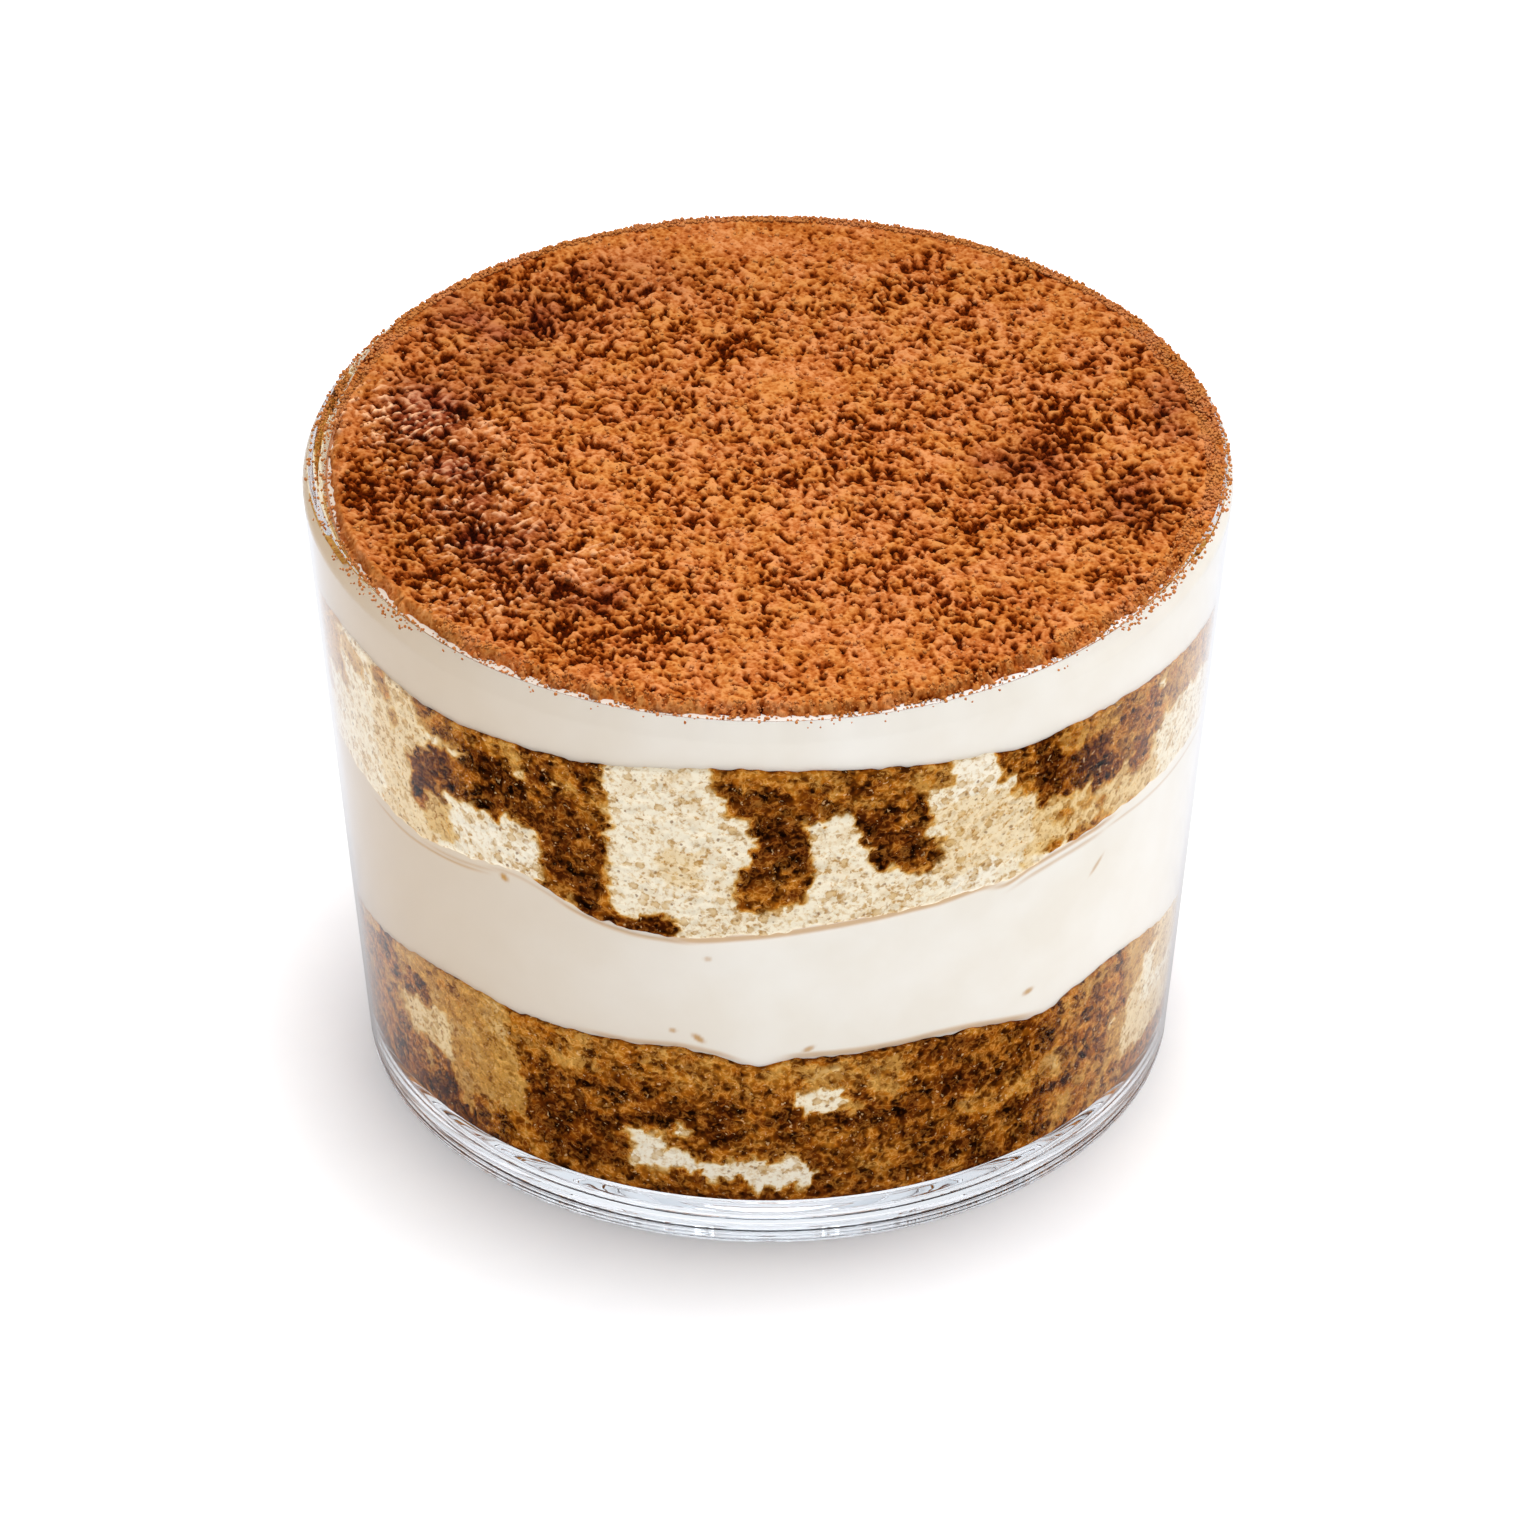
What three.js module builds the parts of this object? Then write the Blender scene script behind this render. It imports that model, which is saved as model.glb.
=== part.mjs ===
// Tiramisu in a low, straight-sided glass cup, filled to the rim.
// From the bottom up: coffee-soaked sponge, cream, a second sponge, a second cream, and a dusting of cocoa.
// Millimetres, +Z up. The cup's axis is Z, its foot stands on z = 0, and its front faces -Y.

import * as THREE from "three";

// ---- Driving dimensions ----

const SEGMENTS = 72; // facets round the axis, shared by every piece so that the gaps between them stay even
const FIT_GAP = 0.3; // room between pieces that touch

// The glass cup.
const RIM_RADIUS = 42; // outside of the rim
const CUP_HEIGHT = 60; // from the table to the top of the rim
const BASE_RADIUS = 36.8; // where the straight side would meet the table
const WALL = 2.2; // level thickness of the wall
const RIM_ROUND = 0.9; // rounding of the rim's two edges
const FLOOR = 3.6; // glass under the food
const INNER_ROUND = 3; // rounding between the wall and the floor inside
const FOOT_ROUND = 0.4; // rounding between the side and the foot
const HOLLOW_RADIUS = 28; // shallow hollow under the foot
const HOLLOW_DEPTH = 0.8;
const HOLLOW_SLOPE = 12; // level width of the hollow's sloping edge
const EDGE_STEPS = 3; // facets across a rounded edge
const INNER_STEPS = 4; // facets across the rounding inside

// Heights of the seams between the layers where they meet the glass.
const LOWER_SPONGE_TOP = 20.3;
const LOWER_CREAM_TOP = 37;
const UPPER_SPONGE_TOP = 52.6;
const UPPER_CREAM_TOP = 59.2;

// The cocoa.
const COCOA_RADIUS = 39;
const COCOA_TOP = 60.1; // mean height of the dusting
const COCOA_EDGE = 59.7; // height of its feathered edge
const COCOA_FEATHER = 2.4; // width of the feathered edge
const COCOA_RIPPLE = 0.22; // height of the fine unevenness
const COCOA_RIPPLE_LENGTH = 7; // distance between its crests
const COCOA_RINGS = 13; // rings of the dusting's upper side

// Rings of each layer.
const FACE_SHARES = [0.4, 0.75, 1]; // of a seam, as shares of the radius
const SIDE_SHARES = [0.35, 0.7]; // of a side, as shares of the way between the seams
const INNER_SHARE = 0.5; // of a flat underside, as a share of its radius

// Swells and dips of each seam round the glass: the middle of the swell and its half-width, in degrees
// from the front towards the right, and its height.
const LOWER_SPONGE_SWELLS = [
  { at: -16, halfWidth: 34, height: 1.7 },
  { at: 24, halfWidth: 14, height: 1.2 },
  { at: 42, halfWidth: 6, height: -0.8 },
  { at: 84, halfWidth: 18, height: -1.8 },
  { at: -82, halfWidth: 18, height: -1.6 },
  { at: 150, halfWidth: 28, height: 1.1 },
];
const LOWER_CREAM_SWELLS = [
  { at: -14, halfWidth: 18, height: -2.3 },
  { at: -34, halfWidth: 7, height: 1.4 },
  { at: 52, halfWidth: 24, height: 1.9 },
  { at: 130, halfWidth: 22, height: -1.2 },
  { at: -140, halfWidth: 30, height: 0.9 },
];
const UPPER_SPONGE_SWELLS = [
  { at: 4, halfWidth: 30, height: 1.8 },
  { at: -66, halfWidth: 12, height: 0.9 },
  { at: 84, halfWidth: 20, height: -2 },
  { at: 160, halfWidth: 34, height: 0.8 },
];

// Low mounds and hollows of the cocoa: centre (x, y), radius and height.
const COCOA_MOUNDS = [
  { x: 2, y: 4, radius: 17, height: 0.35 },
  { x: 14, y: -22, radius: 9, height: 0.3 },
  { x: 22, y: 16, radius: 10, height: 0.25 },
  { x: -29, y: -11, radius: 8, height: -0.45 },
  { x: -16, y: -25, radius: 8, height: -0.35 },
  { x: -19, y: 21, radius: 9, height: -0.3 },
  { x: 28, y: 1, radius: 7, height: -0.3 },
];

// ---- Values that follow from them ----

const SIDE_SLOPE = (RIM_RADIUS - BASE_RADIUS) / CUP_HEIGHT;
const SIDE_ANGLE = Math.atan(SIDE_SLOPE);
const QUARTER_TURN = Math.PI / 2;
const FULL_TURN = 2 * Math.PI;

const outerRadius = (z) => BASE_RADIUS + SIDE_SLOPE * z;
const innerRadius = (z) => outerRadius(z) - WALL;
const foodRadius = (z) => innerRadius(z) - FIT_GAP;
const radians = (degrees) => (degrees * Math.PI) / 180;

// Centre of the rounding inside, between the wall and the floor.
const FILLET_HEIGHT = FLOOR + INNER_ROUND;
const FILLET_CENTRE = innerRadius(FILLET_HEIGHT) - INNER_ROUND / Math.cos(SIDE_ANGLE);

// The point at height z and the given radius, at an angle from the front towards the right.
function around(angle, radius, z) {
  return [radius * Math.sin(angle), -radius * Math.cos(angle), z];
}

// Points of an arc about (r, z), from one direction to another, in radians from +r towards +z.
function arc(r, z, radius, from, to, steps) {
  const points = [];
  for (let i = 0; i <= steps; i += 1) {
    const direction = from + ((to - from) * i) / steps;
    points.push(new THREE.Vector2(r + radius * Math.cos(direction), z + radius * Math.sin(direction)));
  }
  return points;
}

// ---- The glass cup: one turned profile ----

function cupProfile() {
  const rimOuter = RIM_RADIUS - RIM_ROUND;
  const rimInner = RIM_RADIUS - WALL + RIM_ROUND;
  const rimHeight = CUP_HEIGHT - RIM_ROUND;
  const footCentre = outerRadius(FOOT_ROUND) - FOOT_ROUND / Math.cos(SIDE_ANGLE);
  return [
    new THREE.Vector2(0, HOLLOW_DEPTH),
    new THREE.Vector2(HOLLOW_RADIUS - HOLLOW_SLOPE, HOLLOW_DEPTH),
    new THREE.Vector2(HOLLOW_RADIUS, 0),
    ...arc(footCentre, FOOT_ROUND, FOOT_ROUND, -QUARTER_TURN, -SIDE_ANGLE, EDGE_STEPS),
    ...arc(rimOuter, rimHeight, RIM_ROUND, -SIDE_ANGLE, QUARTER_TURN, EDGE_STEPS),
    ...arc(rimInner, rimHeight, RIM_ROUND, QUARTER_TURN, 2 * QUARTER_TURN - SIDE_ANGLE, EDGE_STEPS),
    ...arc(FILLET_CENTRE, FILLET_HEIGHT, INNER_ROUND, -SIDE_ANGLE, -QUARTER_TURN, INNER_STEPS),
    new THREE.Vector2(0, FLOOR),
  ];
}

function cupGeometry() {
  const geometry = new THREE.LatheGeometry(cupProfile(), SEGMENTS);
  geometry.rotateX(QUARTER_TURN);
  return geometry;
}

// ---- The food: closed skins over a stack of rings ----

// The skin runs from a point on the axis outwards over the rings, up, and back in to a second point.
function skinGeometry(bottomPoint, rings, topPoint) {
  const positions = [bottomPoint, ...rings.flat(), topPoint].flat();
  const topIndex = 1 + rings.length * SEGMENTS;
  const at = (row, segment) => 1 + row * SEGMENTS + (segment % SEGMENTS);
  const indices = [];
  for (let k = 0; k < SEGMENTS; k += 1) {
    indices.push(0, at(0, k + 1), at(0, k));
    for (let row = 0; row < rings.length - 1; row += 1) {
      indices.push(at(row, k), at(row, k + 1), at(row + 1, k));
      indices.push(at(row, k + 1), at(row + 1, k + 1), at(row + 1, k));
    }
    indices.push(topIndex, at(rings.length - 1, k), at(rings.length - 1, k + 1));
  }
  const geometry = new THREE.BufferGeometry();
  geometry.setAttribute("position", new THREE.Float32BufferAttribute(positions, 3));
  geometry.setIndex(indices);
  geometry.computeVertexNormals();
  return geometry;
}

// One ring of SEGMENTS points; place(angle) gives [radius, z].
function ring(place) {
  const points = [];
  for (let k = 0; k < SEGMENTS; k += 1) {
    const angle = (FULL_TURN * k) / SEGMENTS;
    points.push(around(angle, ...place(angle)));
  }
  return points;
}

// Sum of smooth bell-shaped swells round the glass.
function swell(swells, angle) {
  let height = 0;
  for (const { at, halfWidth, height: peak } of swells) {
    const away = Math.atan2(Math.sin(angle - radians(at)), Math.cos(angle - radians(at)));
    height += peak * Math.exp(-((away / radians(halfWidth)) ** 2));
  }
  return height;
}

// A seam between two layers: its height at the glass and, by share of the radius, its height inside,
// where the swells die away.
function seam(level, swells, shift = 0) {
  return {
    level: level + shift,
    height: (angle, share) => level + shift + swell(swells, angle) * share * share,
  };
}

// Rings of a seam, ending where it meets the glass.
function seamRings({ height }) {
  return FACE_SHARES.map((share) =>
    ring((angle) => [foodRadius(height(angle, 1)) * share, height(angle, share)]),
  );
}

// Rings of a side along the glass, between the edges of two seams.
function sideRings(lower, upper) {
  return SIDE_SHARES.map((share) =>
    ring((angle) => {
      const z = THREE.MathUtils.lerp(lower(angle), upper(angle), share);
      return [foodRadius(z), z];
    }),
  );
}

// A layer between two seams.
function layerGeometry(lower, upper) {
  const rings = [
    ...seamRings(lower),
    ...sideRings((angle) => lower.height(angle, 1), (angle) => upper.height(angle, 1)),
    ...seamRings(upper).reverse(),
  ];
  return skinGeometry([0, 0, lower.level], rings, [0, 0, upper.level]);
}

// The lowest layer stands on the floor of the glass and is rounded where the glass is.
function bottomLayerGeometry(upper) {
  const round = INNER_ROUND - FIT_GAP;
  const fillet = arc(FILLET_CENTRE, FILLET_HEIGHT, round, -QUARTER_TURN, -SIDE_ANGLE, INNER_STEPS);
  const rings = [
    ring(() => [FILLET_CENTRE * INNER_SHARE, FLOOR + FIT_GAP]),
    ...fillet.map((point) => ring(() => [point.x, point.y])),
    ...sideRings(() => FILLET_HEIGHT, (angle) => upper.height(angle, 1)),
    ...seamRings(upper).reverse(),
  ];
  return skinGeometry([0, 0, FLOOR + FIT_GAP], rings, [0, 0, upper.level]);
}

// Height of the cocoa over the point (x, y): mounds, hollows and a fine ripple, feathered at the edge.
function cocoaHeight(x, y) {
  let height = COCOA_TOP;
  for (const mound of COCOA_MOUNDS) {
    const away = Math.hypot(x - mound.x, y - mound.y) / mound.radius;
    height += mound.height * Math.exp(-away * away);
  }
  const turn = FULL_TURN / COCOA_RIPPLE_LENGTH;
  height += COCOA_RIPPLE * Math.sin(turn * x) * Math.cos(turn * y + Math.sin(x));
  const inside = (COCOA_RADIUS - Math.hypot(x, y)) / COCOA_FEATHER;
  return THREE.MathUtils.lerp(COCOA_EDGE, height, THREE.MathUtils.smoothstep(inside, 0, 1));
}

function cocoaGeometry() {
  const under = UPPER_CREAM_TOP + FIT_GAP;
  const top = [];
  for (let i = COCOA_RINGS; i > 0; i -= 1) {
    const radius = (COCOA_RADIUS * i) / COCOA_RINGS;
    top.push(
      ring((angle) => {
        const [x, y] = around(angle, radius, 0);
        return [radius, cocoaHeight(x, y)];
      }),
    );
  }
  const rings = [ring(() => [COCOA_RADIUS * INNER_SHARE, under]), ring(() => [COCOA_RADIUS, under]), ...top];
  return skinGeometry([0, 0, under], rings, [0, 0, cocoaHeight(0, 0)]);
}

// ---- Materials ----

const glass = new THREE.MeshStandardMaterial({
  color: 0xeef2f4,
  roughness: 0.03,
  metalness: 0,
  transparent: true,
  opacity: 0.35,
});
const soakedSponge = new THREE.MeshStandardMaterial({ color: 0x8a5122, roughness: 0.7, metalness: 0 });
const paleSponge = new THREE.MeshStandardMaterial({ color: 0xc9a873, roughness: 0.8, metalness: 0 });
const cream = new THREE.MeshStandardMaterial({ color: 0xf0e9dd, roughness: 0.45, metalness: 0 });
const cocoa = new THREE.MeshStandardMaterial({ color: 0xa35a2a, roughness: 0.95, metalness: 0 });

// ---- The object ----

function piece(name, geometry, material) {
  const mesh = new THREE.Mesh(geometry, material);
  mesh.name = name;
  return mesh;
}

const lowerSpongeTop = seam(LOWER_SPONGE_TOP, LOWER_SPONGE_SWELLS);
const lowerCreamBottom = seam(LOWER_SPONGE_TOP, LOWER_SPONGE_SWELLS, FIT_GAP);
const lowerCreamTop = seam(LOWER_CREAM_TOP, LOWER_CREAM_SWELLS);
const upperSpongeBottom = seam(LOWER_CREAM_TOP, LOWER_CREAM_SWELLS, FIT_GAP);
const upperSpongeTop = seam(UPPER_SPONGE_TOP, UPPER_SPONGE_SWELLS);
const upperCreamBottom = seam(UPPER_SPONGE_TOP, UPPER_SPONGE_SWELLS, FIT_GAP);
const upperCreamTop = seam(UPPER_CREAM_TOP, []);

const tiramisu = new THREE.Group();
tiramisu.add(
  piece("glass_cup", cupGeometry(), glass),
  piece("sponge_lower", bottomLayerGeometry(lowerSpongeTop), soakedSponge),
  piece("cream_lower", layerGeometry(lowerCreamBottom, lowerCreamTop), cream),
  piece("sponge_upper", layerGeometry(upperSpongeBottom, upperSpongeTop), paleSponge),
  piece("cream_upper", layerGeometry(upperCreamBottom, upperCreamTop), cream),
  piece("cocoa_dusting", cocoaGeometry(), cocoa),
);

export default tiramisu;
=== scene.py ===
# %% [markdown]
# # A tiramisu in its glass cup
# A tiramisu is built up in the cup it is served in: sponge soaked with coffee, cream, sponge again, cream
# again, and cocoa sifted over the top. All that shows is the side of each layer, pressed against the glass,
# and the cocoa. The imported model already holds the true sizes, so this lesson starts by opening it and only
# dresses it. Everything is worked out in millimetres and turned into metres when a mesh is made.

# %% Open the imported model
import itertools
import math

import bpy
import numpy as np
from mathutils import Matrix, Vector


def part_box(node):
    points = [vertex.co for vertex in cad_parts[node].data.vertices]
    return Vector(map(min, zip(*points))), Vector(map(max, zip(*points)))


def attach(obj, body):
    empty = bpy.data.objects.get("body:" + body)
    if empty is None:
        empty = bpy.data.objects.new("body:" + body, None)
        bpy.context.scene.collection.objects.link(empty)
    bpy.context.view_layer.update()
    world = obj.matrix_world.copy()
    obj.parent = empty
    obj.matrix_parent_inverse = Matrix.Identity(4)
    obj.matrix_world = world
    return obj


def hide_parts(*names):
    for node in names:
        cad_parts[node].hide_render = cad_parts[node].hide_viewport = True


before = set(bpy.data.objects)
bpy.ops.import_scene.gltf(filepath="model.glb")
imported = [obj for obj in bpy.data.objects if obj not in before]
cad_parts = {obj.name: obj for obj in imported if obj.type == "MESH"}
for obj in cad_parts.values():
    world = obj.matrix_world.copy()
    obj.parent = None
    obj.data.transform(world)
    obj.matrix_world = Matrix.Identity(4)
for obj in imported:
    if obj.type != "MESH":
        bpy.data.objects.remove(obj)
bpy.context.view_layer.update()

MM = 0.001
print("packed nodes:", sorted(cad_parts))

# %% [markdown]
# ## The cup's measures
# The cup is a turned shape, so one outline says it all: a straight side that leans out a little, a rounded
# rim, a thick floor and a foot ring. The food follows the same outline from inside. The names and numbers are
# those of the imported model.

# %% Measures of the cup and the seams
RIM_RADIUS = 42.0
CUP_HEIGHT = 60.0
BASE_RADIUS = 36.8
WALL = 2.2
RIM_ROUND = 0.9
FLOOR = 3.6
INNER_ROUND = 3.0
FOOT_ROUND = 0.4
HOLLOW_RADIUS = 28.0
HOLLOW_DEPTH = 0.8
HOLLOW_SLOPE = 12.0

LOWER_SPONGE_TOP = 20.3
LOWER_CREAM_TOP = 37.0
UPPER_SPONGE_TOP = 52.6
UPPER_CREAM_TOP = 59.2
COCOA_TOP = 60.1

SIDE_SLOPE = (RIM_RADIUS - BASE_RADIUS) / CUP_HEIGHT
SIDE_ANGLE = math.atan(SIDE_SLOPE)
QUARTER = math.pi / 2


def inner_radius(height):
    """Radius of the glass's inside: base radius + slope x height - wall."""
    return BASE_RADIUS + SIDE_SLOPE * height - WALL


glass_low, glass_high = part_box("glass_cup")
print("glass stands", round((glass_high.z - glass_low.z) / MM, 1), "mm high")

# %% [markdown]
# ## Lumps and pores from numbers
# Food is never smooth or regular, but a script has to give the same food each time. A hash turns a cell's
# whole-number place into a number that looks random and never changes. From it come soft lumps (numbers at
# the corners of a grid, blended), and cells round scattered centres, which look like the crumb of a sponge.

# %% Hashed numbers and soft lumps
def hashed(i, j, k, seed):
    """A repeatable number from 0 to 1 for each cell (i, j, k).

    The three numbers and the seed are each multiplied by a large prime and mixed by exclusive or, then the
    bits are shifted onto themselves and multiplied twice.
    """
    bits = (i * 73856093) ^ (j * 19349663) ^ (k * 83492791) ^ (seed * 2654435761)
    bits &= 0xFFFFFFFF
    bits = (((bits >> 16) ^ bits) * 0x45D9F3B) & 0xFFFFFFFF
    bits = (((bits >> 16) ^ bits) * 0x45D9F3B) & 0xFFFFFFFF
    return ((bits >> 16) ^ bits) / 4294967296.0


def smooth_step(low, high, value):
    """0 below low, 1 above high, and 3t^2 - 2t^3 between, where t is the share of the way."""
    t = np.clip((value - low) / (high - low), 0.0, 1.0)
    return t * t * (3.0 - 2.0 * t)


CORNERS = list(itertools.product((0, 1), repeat=3))
NEIGHBOURS = list(itertools.product((-1, 0, 1), repeat=3))


def lumps(points, size, seed):
    """Soft lumps from -1 to 1, about one size apart: hashed numbers at the corners of cubes, blended."""
    scaled = points / size
    cell = np.floor(scaled).astype(np.int64)
    t = scaled - cell
    t = t * t * (3.0 - 2.0 * t)
    total = np.zeros(len(points))
    for i, j, k in CORNERS:
        weight = np.abs(1 - i - t[:, 0]) * np.abs(1 - j - t[:, 1]) * np.abs(1 - k - t[:, 2])
        total += weight * hashed(cell[:, 0] + i, cell[:, 1] + j, cell[:, 2] + k, seed)
    return 2.0 * total - 1.0


def layered_lumps(points, size, seed, layers=3, share=0.5):
    """Lumps on lumps: each further layer is half as wide and has a share of the height before it."""
    total = np.zeros(len(points))
    height = 1.0
    for layer in range(layers):
        total += height * lumps(points, size / 2**layer, seed + 17 * layer)
        height *= share
    return total


def shaken(points, amount, size, seed):
    """The points, each moved by up to an amount along each axis by lumps of a size."""
    return points + amount * np.stack([lumps(points, size, seed + axis) for axis in range(3)], axis=1)


# %% Cells of a sponge
def cell_centres(cell, seed):
    """The centre scattered in each cell: its whole-number corner plus a hashed share along each axis."""
    return cell + np.stack([hashed(*cell.T, seed + axis) for axis in range(3)], axis=1)


def foam(points, size, seed):
    """Cells round centres scattered one to a cube.

    Gives the second distance less the first, in cubes, which is 0 on the wall between two cells, and the
    nearest centre's own random number.
    """
    scaled = points / size
    base = np.floor(scaled).astype(np.int64)
    first = np.full(len(points), 9.0)
    second = np.full(len(points), 9.0)
    owner = np.zeros(len(points))
    for step in NEIGHBOURS:
        cell = base + step
        away = np.linalg.norm(scaled - cell_centres(cell, seed), axis=1)
        nearer = away < first
        second = np.where(nearer, first, np.minimum(second, away))
        owner[nearer] = hashed(*cell[nearer].T, seed + 3)
        first = np.where(nearer, away, first)
    return second - first, owner


print("one hashed number:", hashed(np.array([3]), np.array([5]), np.array([7]), 11))

# %% [markdown]
# ## From grids of points to meshes
# Every layer is a turned shape with an uneven skin. A turned skin is a grid: rows run from the middle of the
# underside outwards, up the side and back to the middle of the top, and columns run round the axis. One
# helper joins any such grid, so each piece only has to say where its rows lie.

# %% A mesh from arrays
def make_piece(name, points, corners, counts, values=None):
    """A smooth-shaded piece from points in millimetres, its faces' corners in a row, and corners per face."""
    mesh = bpy.data.meshes.new(name)
    mesh.vertices.add(len(points))
    mesh.vertices.foreach_set("co", (points * MM).astype(np.float32).ravel())
    mesh.loops.add(len(corners))
    mesh.loops.foreach_set("vertex_index", corners.astype(np.int32))
    mesh.polygons.add(len(counts))
    mesh.polygons.foreach_set("loop_start", (np.cumsum(counts) - counts).astype(np.int32))
    mesh.polygons.foreach_set("use_smooth", np.ones(len(counts), bool))
    mesh.update(calc_edges=True)
    for key, value in (values or {}).items():
        layer = mesh.attributes.new(key, "FLOAT", "POINT")
        layer.data.foreach_set("value", value.astype(np.float32))
    piece = bpy.data.objects.new(name, mesh)
    bpy.context.scene.collection.objects.link(piece)
    triangles = int(np.sum(counts - 2))
    print(f"{name}: {len(points)} points, {triangles} triangles")
    return piece


def turned_faces(rows, columns):
    """Corners and counts of a closed turned skin: quads between the rings, and a fan round each pole."""
    column = np.arange(columns)
    following = (column + 1) % columns
    ring = 1 + columns * np.arange(rows - 1)[:, None]
    above = ring + columns
    quads = np.stack([ring + column, ring + following, above + following, above + column], axis=-1)
    last = 1 + columns * (rows - 1)
    start = np.stack([np.zeros(columns, int), 1 + following, 1 + column], axis=-1)
    end = np.stack([np.full(columns, 1 + columns * rows), last + column, last + following], axis=-1)
    corners = np.concatenate([start.ravel(), quads.ravel(), end.ravel()])
    counts = np.concatenate([np.full(columns, 3), np.full(quads.shape[0] * columns, 4), np.full(columns, 3)])
    return corners, counts


def around(angles, radii, heights):
    """Points round the axis: x = r sin(angle), y = -r cos(angle), from the front towards the right."""
    return np.stack([radii * np.sin(angles), -radii * np.cos(angles), heights], axis=-1)


def with_poles(values, start=0.5, end=0.5):
    """A value for every point of a turned skin: one for the first pole, those of the rings, and the last."""
    return np.concatenate([[start], values.ravel(), [end]])


def turned_piece(name, angles, radii, heights, start, end, values=None):
    """A closed turned skin, from a height on the axis, along the rings, to another height on the axis."""
    rings = around(angles, radii, heights).reshape(-1, 3)
    points = np.concatenate([[(0.0, 0.0, start)], rings, [(0.0, 0.0, end)]])
    return make_piece(name, points, *turned_faces(*heights.shape), values)


def round_angles(columns):
    """Angles of the columns, from the front towards the right, in radians."""
    return np.arange(columns) * (2.0 * math.pi / columns)


# %% [markdown]
# ## The glass
# The cup is pressed glass: clear, hard and smooth, rounded at the rim, at the foot and inside above the
# floor. It is one outline turned about the axis. The mould was turned too, and left fine traces: two lines
# above the foot, three grooves under it and a faint wave. Through the thick floor these show as the dark
# lines that make glass look like glass, so the outline has them.

# %% Arcs and straight stretches
GLASS_COLUMNS = 640
ARC_STEPS = 8
SUPPORT = 0.12
SHORTEST_STRETCH = 0.6
LONGEST_STEP = 5.0


def arc(r, z, radius, start, end, steps=ARC_STEPS):
    """Points of an arc about (r, z) between two directions, in radians from outwards towards up."""
    turn = np.linspace(start, end, steps + 1)
    return np.stack([r + radius * np.cos(turn), z + radius * np.sin(turn)], axis=-1)


def with_support(corners):
    """The outline with more points on its straight stretches, so that each shades as straight.

    A stretch longer than the shortest one gets a point one support from either end, and evenly shared points
    between them.
    """
    points = [corners[0]]
    for start, end in zip(corners[:-1], corners[1:]):
        length = np.linalg.norm(end - start)
        if length > SHORTEST_STRETCH:
            shares = np.linspace(SUPPORT / length, 1 - SUPPORT / length, 2 + int(length / LONGEST_STEP))
            points.extend(start + share * (end - start) for share in shares)
        points.append(end)
    return np.array(points)


# %% Turn the cup's outline
MOULD_LINES = [0.5, 1.1]
LINE_DEPTH = 0.09
LINE_HALF = 0.15
RING_STEP = 0.5
RING_WAVE_LENGTH = 6.0
RING_WAVE_HEIGHT = 0.024
RING_GROOVES = [29.5, 33.0, 35.2]
RING_DEPTH = 0.12
RING_HALF = 0.2
FILLET_HEIGHT = FLOOR + INNER_ROUND
FILLET_CENTRE = inner_radius(FILLET_HEIGHT) - INNER_ROUND / math.cos(SIDE_ANGLE)
FOOT_CENTRE = BASE_RADIUS + SIDE_SLOPE * FOOT_ROUND - FOOT_ROUND / math.cos(SIDE_ANGLE)
RIM_OUTER = RIM_RADIUS - RIM_ROUND
RIM_INNER = RIM_RADIUS - WALL + RIM_ROUND
RIM_LEVEL = CUP_HEIGHT - RIM_ROUND

# Two fine lines that the mould leaves above the foot, each a shallow groove of three points.
mould_lines = []
for height in MOULD_LINES:
    for level, depth in ((height - LINE_HALF, 0.0), (height, LINE_DEPTH), (height + LINE_HALF, 0.0)):
        mould_lines.append((BASE_RADIUS + SIDE_SLOPE * level - depth, level))
# The underside: its hollow and foot ring, one faint wave all over, and three turned grooves.
ring_start = HOLLOW_RADIUS - HOLLOW_SLOPE
ring_r = np.arange(ring_start, FOOT_CENTRE - 0.1, RING_STEP)
for groove in RING_GROOVES:
    clear_of_it = np.abs(ring_r - groove) > 1.3 * RING_HALF
    ring_r = np.concatenate([ring_r[clear_of_it], [groove - RING_HALF, groove, groove + RING_HALF]])
ring_r = np.sort(ring_r)
ring_z = np.interp(ring_r, [ring_start, HOLLOW_RADIUS], [HOLLOW_DEPTH, 0.0])
ring_z += RING_WAVE_HEIGHT * (1.0 + np.sin(2.0 * math.pi * ring_r / RING_WAVE_LENGTH))
ring_z[np.isin(ring_r, RING_GROOVES)] += RING_DEPTH
outline = np.concatenate(
    [
        [(0.0, HOLLOW_DEPTH)],
        np.stack([ring_r, ring_z], axis=-1),
        arc(FOOT_CENTRE, FOOT_ROUND, FOOT_ROUND, -QUARTER, -SIDE_ANGLE),
        mould_lines,
        arc(RIM_OUTER, RIM_LEVEL, RIM_ROUND, -SIDE_ANGLE, QUARTER),
        arc(RIM_INNER, RIM_LEVEL, RIM_ROUND, QUARTER, 2 * QUARTER - SIDE_ANGLE),
        arc(FILLET_CENTRE, FILLET_HEIGHT, INNER_ROUND, -SIDE_ANGLE, -QUARTER),
        [(0.0, FLOOR)],
    ]
)
outline = with_support(outline)[1:-1]
glass_rings = np.ones((1, GLASS_COLUMNS))
glass = turned_piece(
    "glass_wall",
    round_angles(GLASS_COLUMNS) * np.ones((len(outline), 1)),
    outline[:, :1] * glass_rings,
    outline[:, 1:] * glass_rings,
    HOLLOW_DEPTH,
    FLOOR,
)

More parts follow.
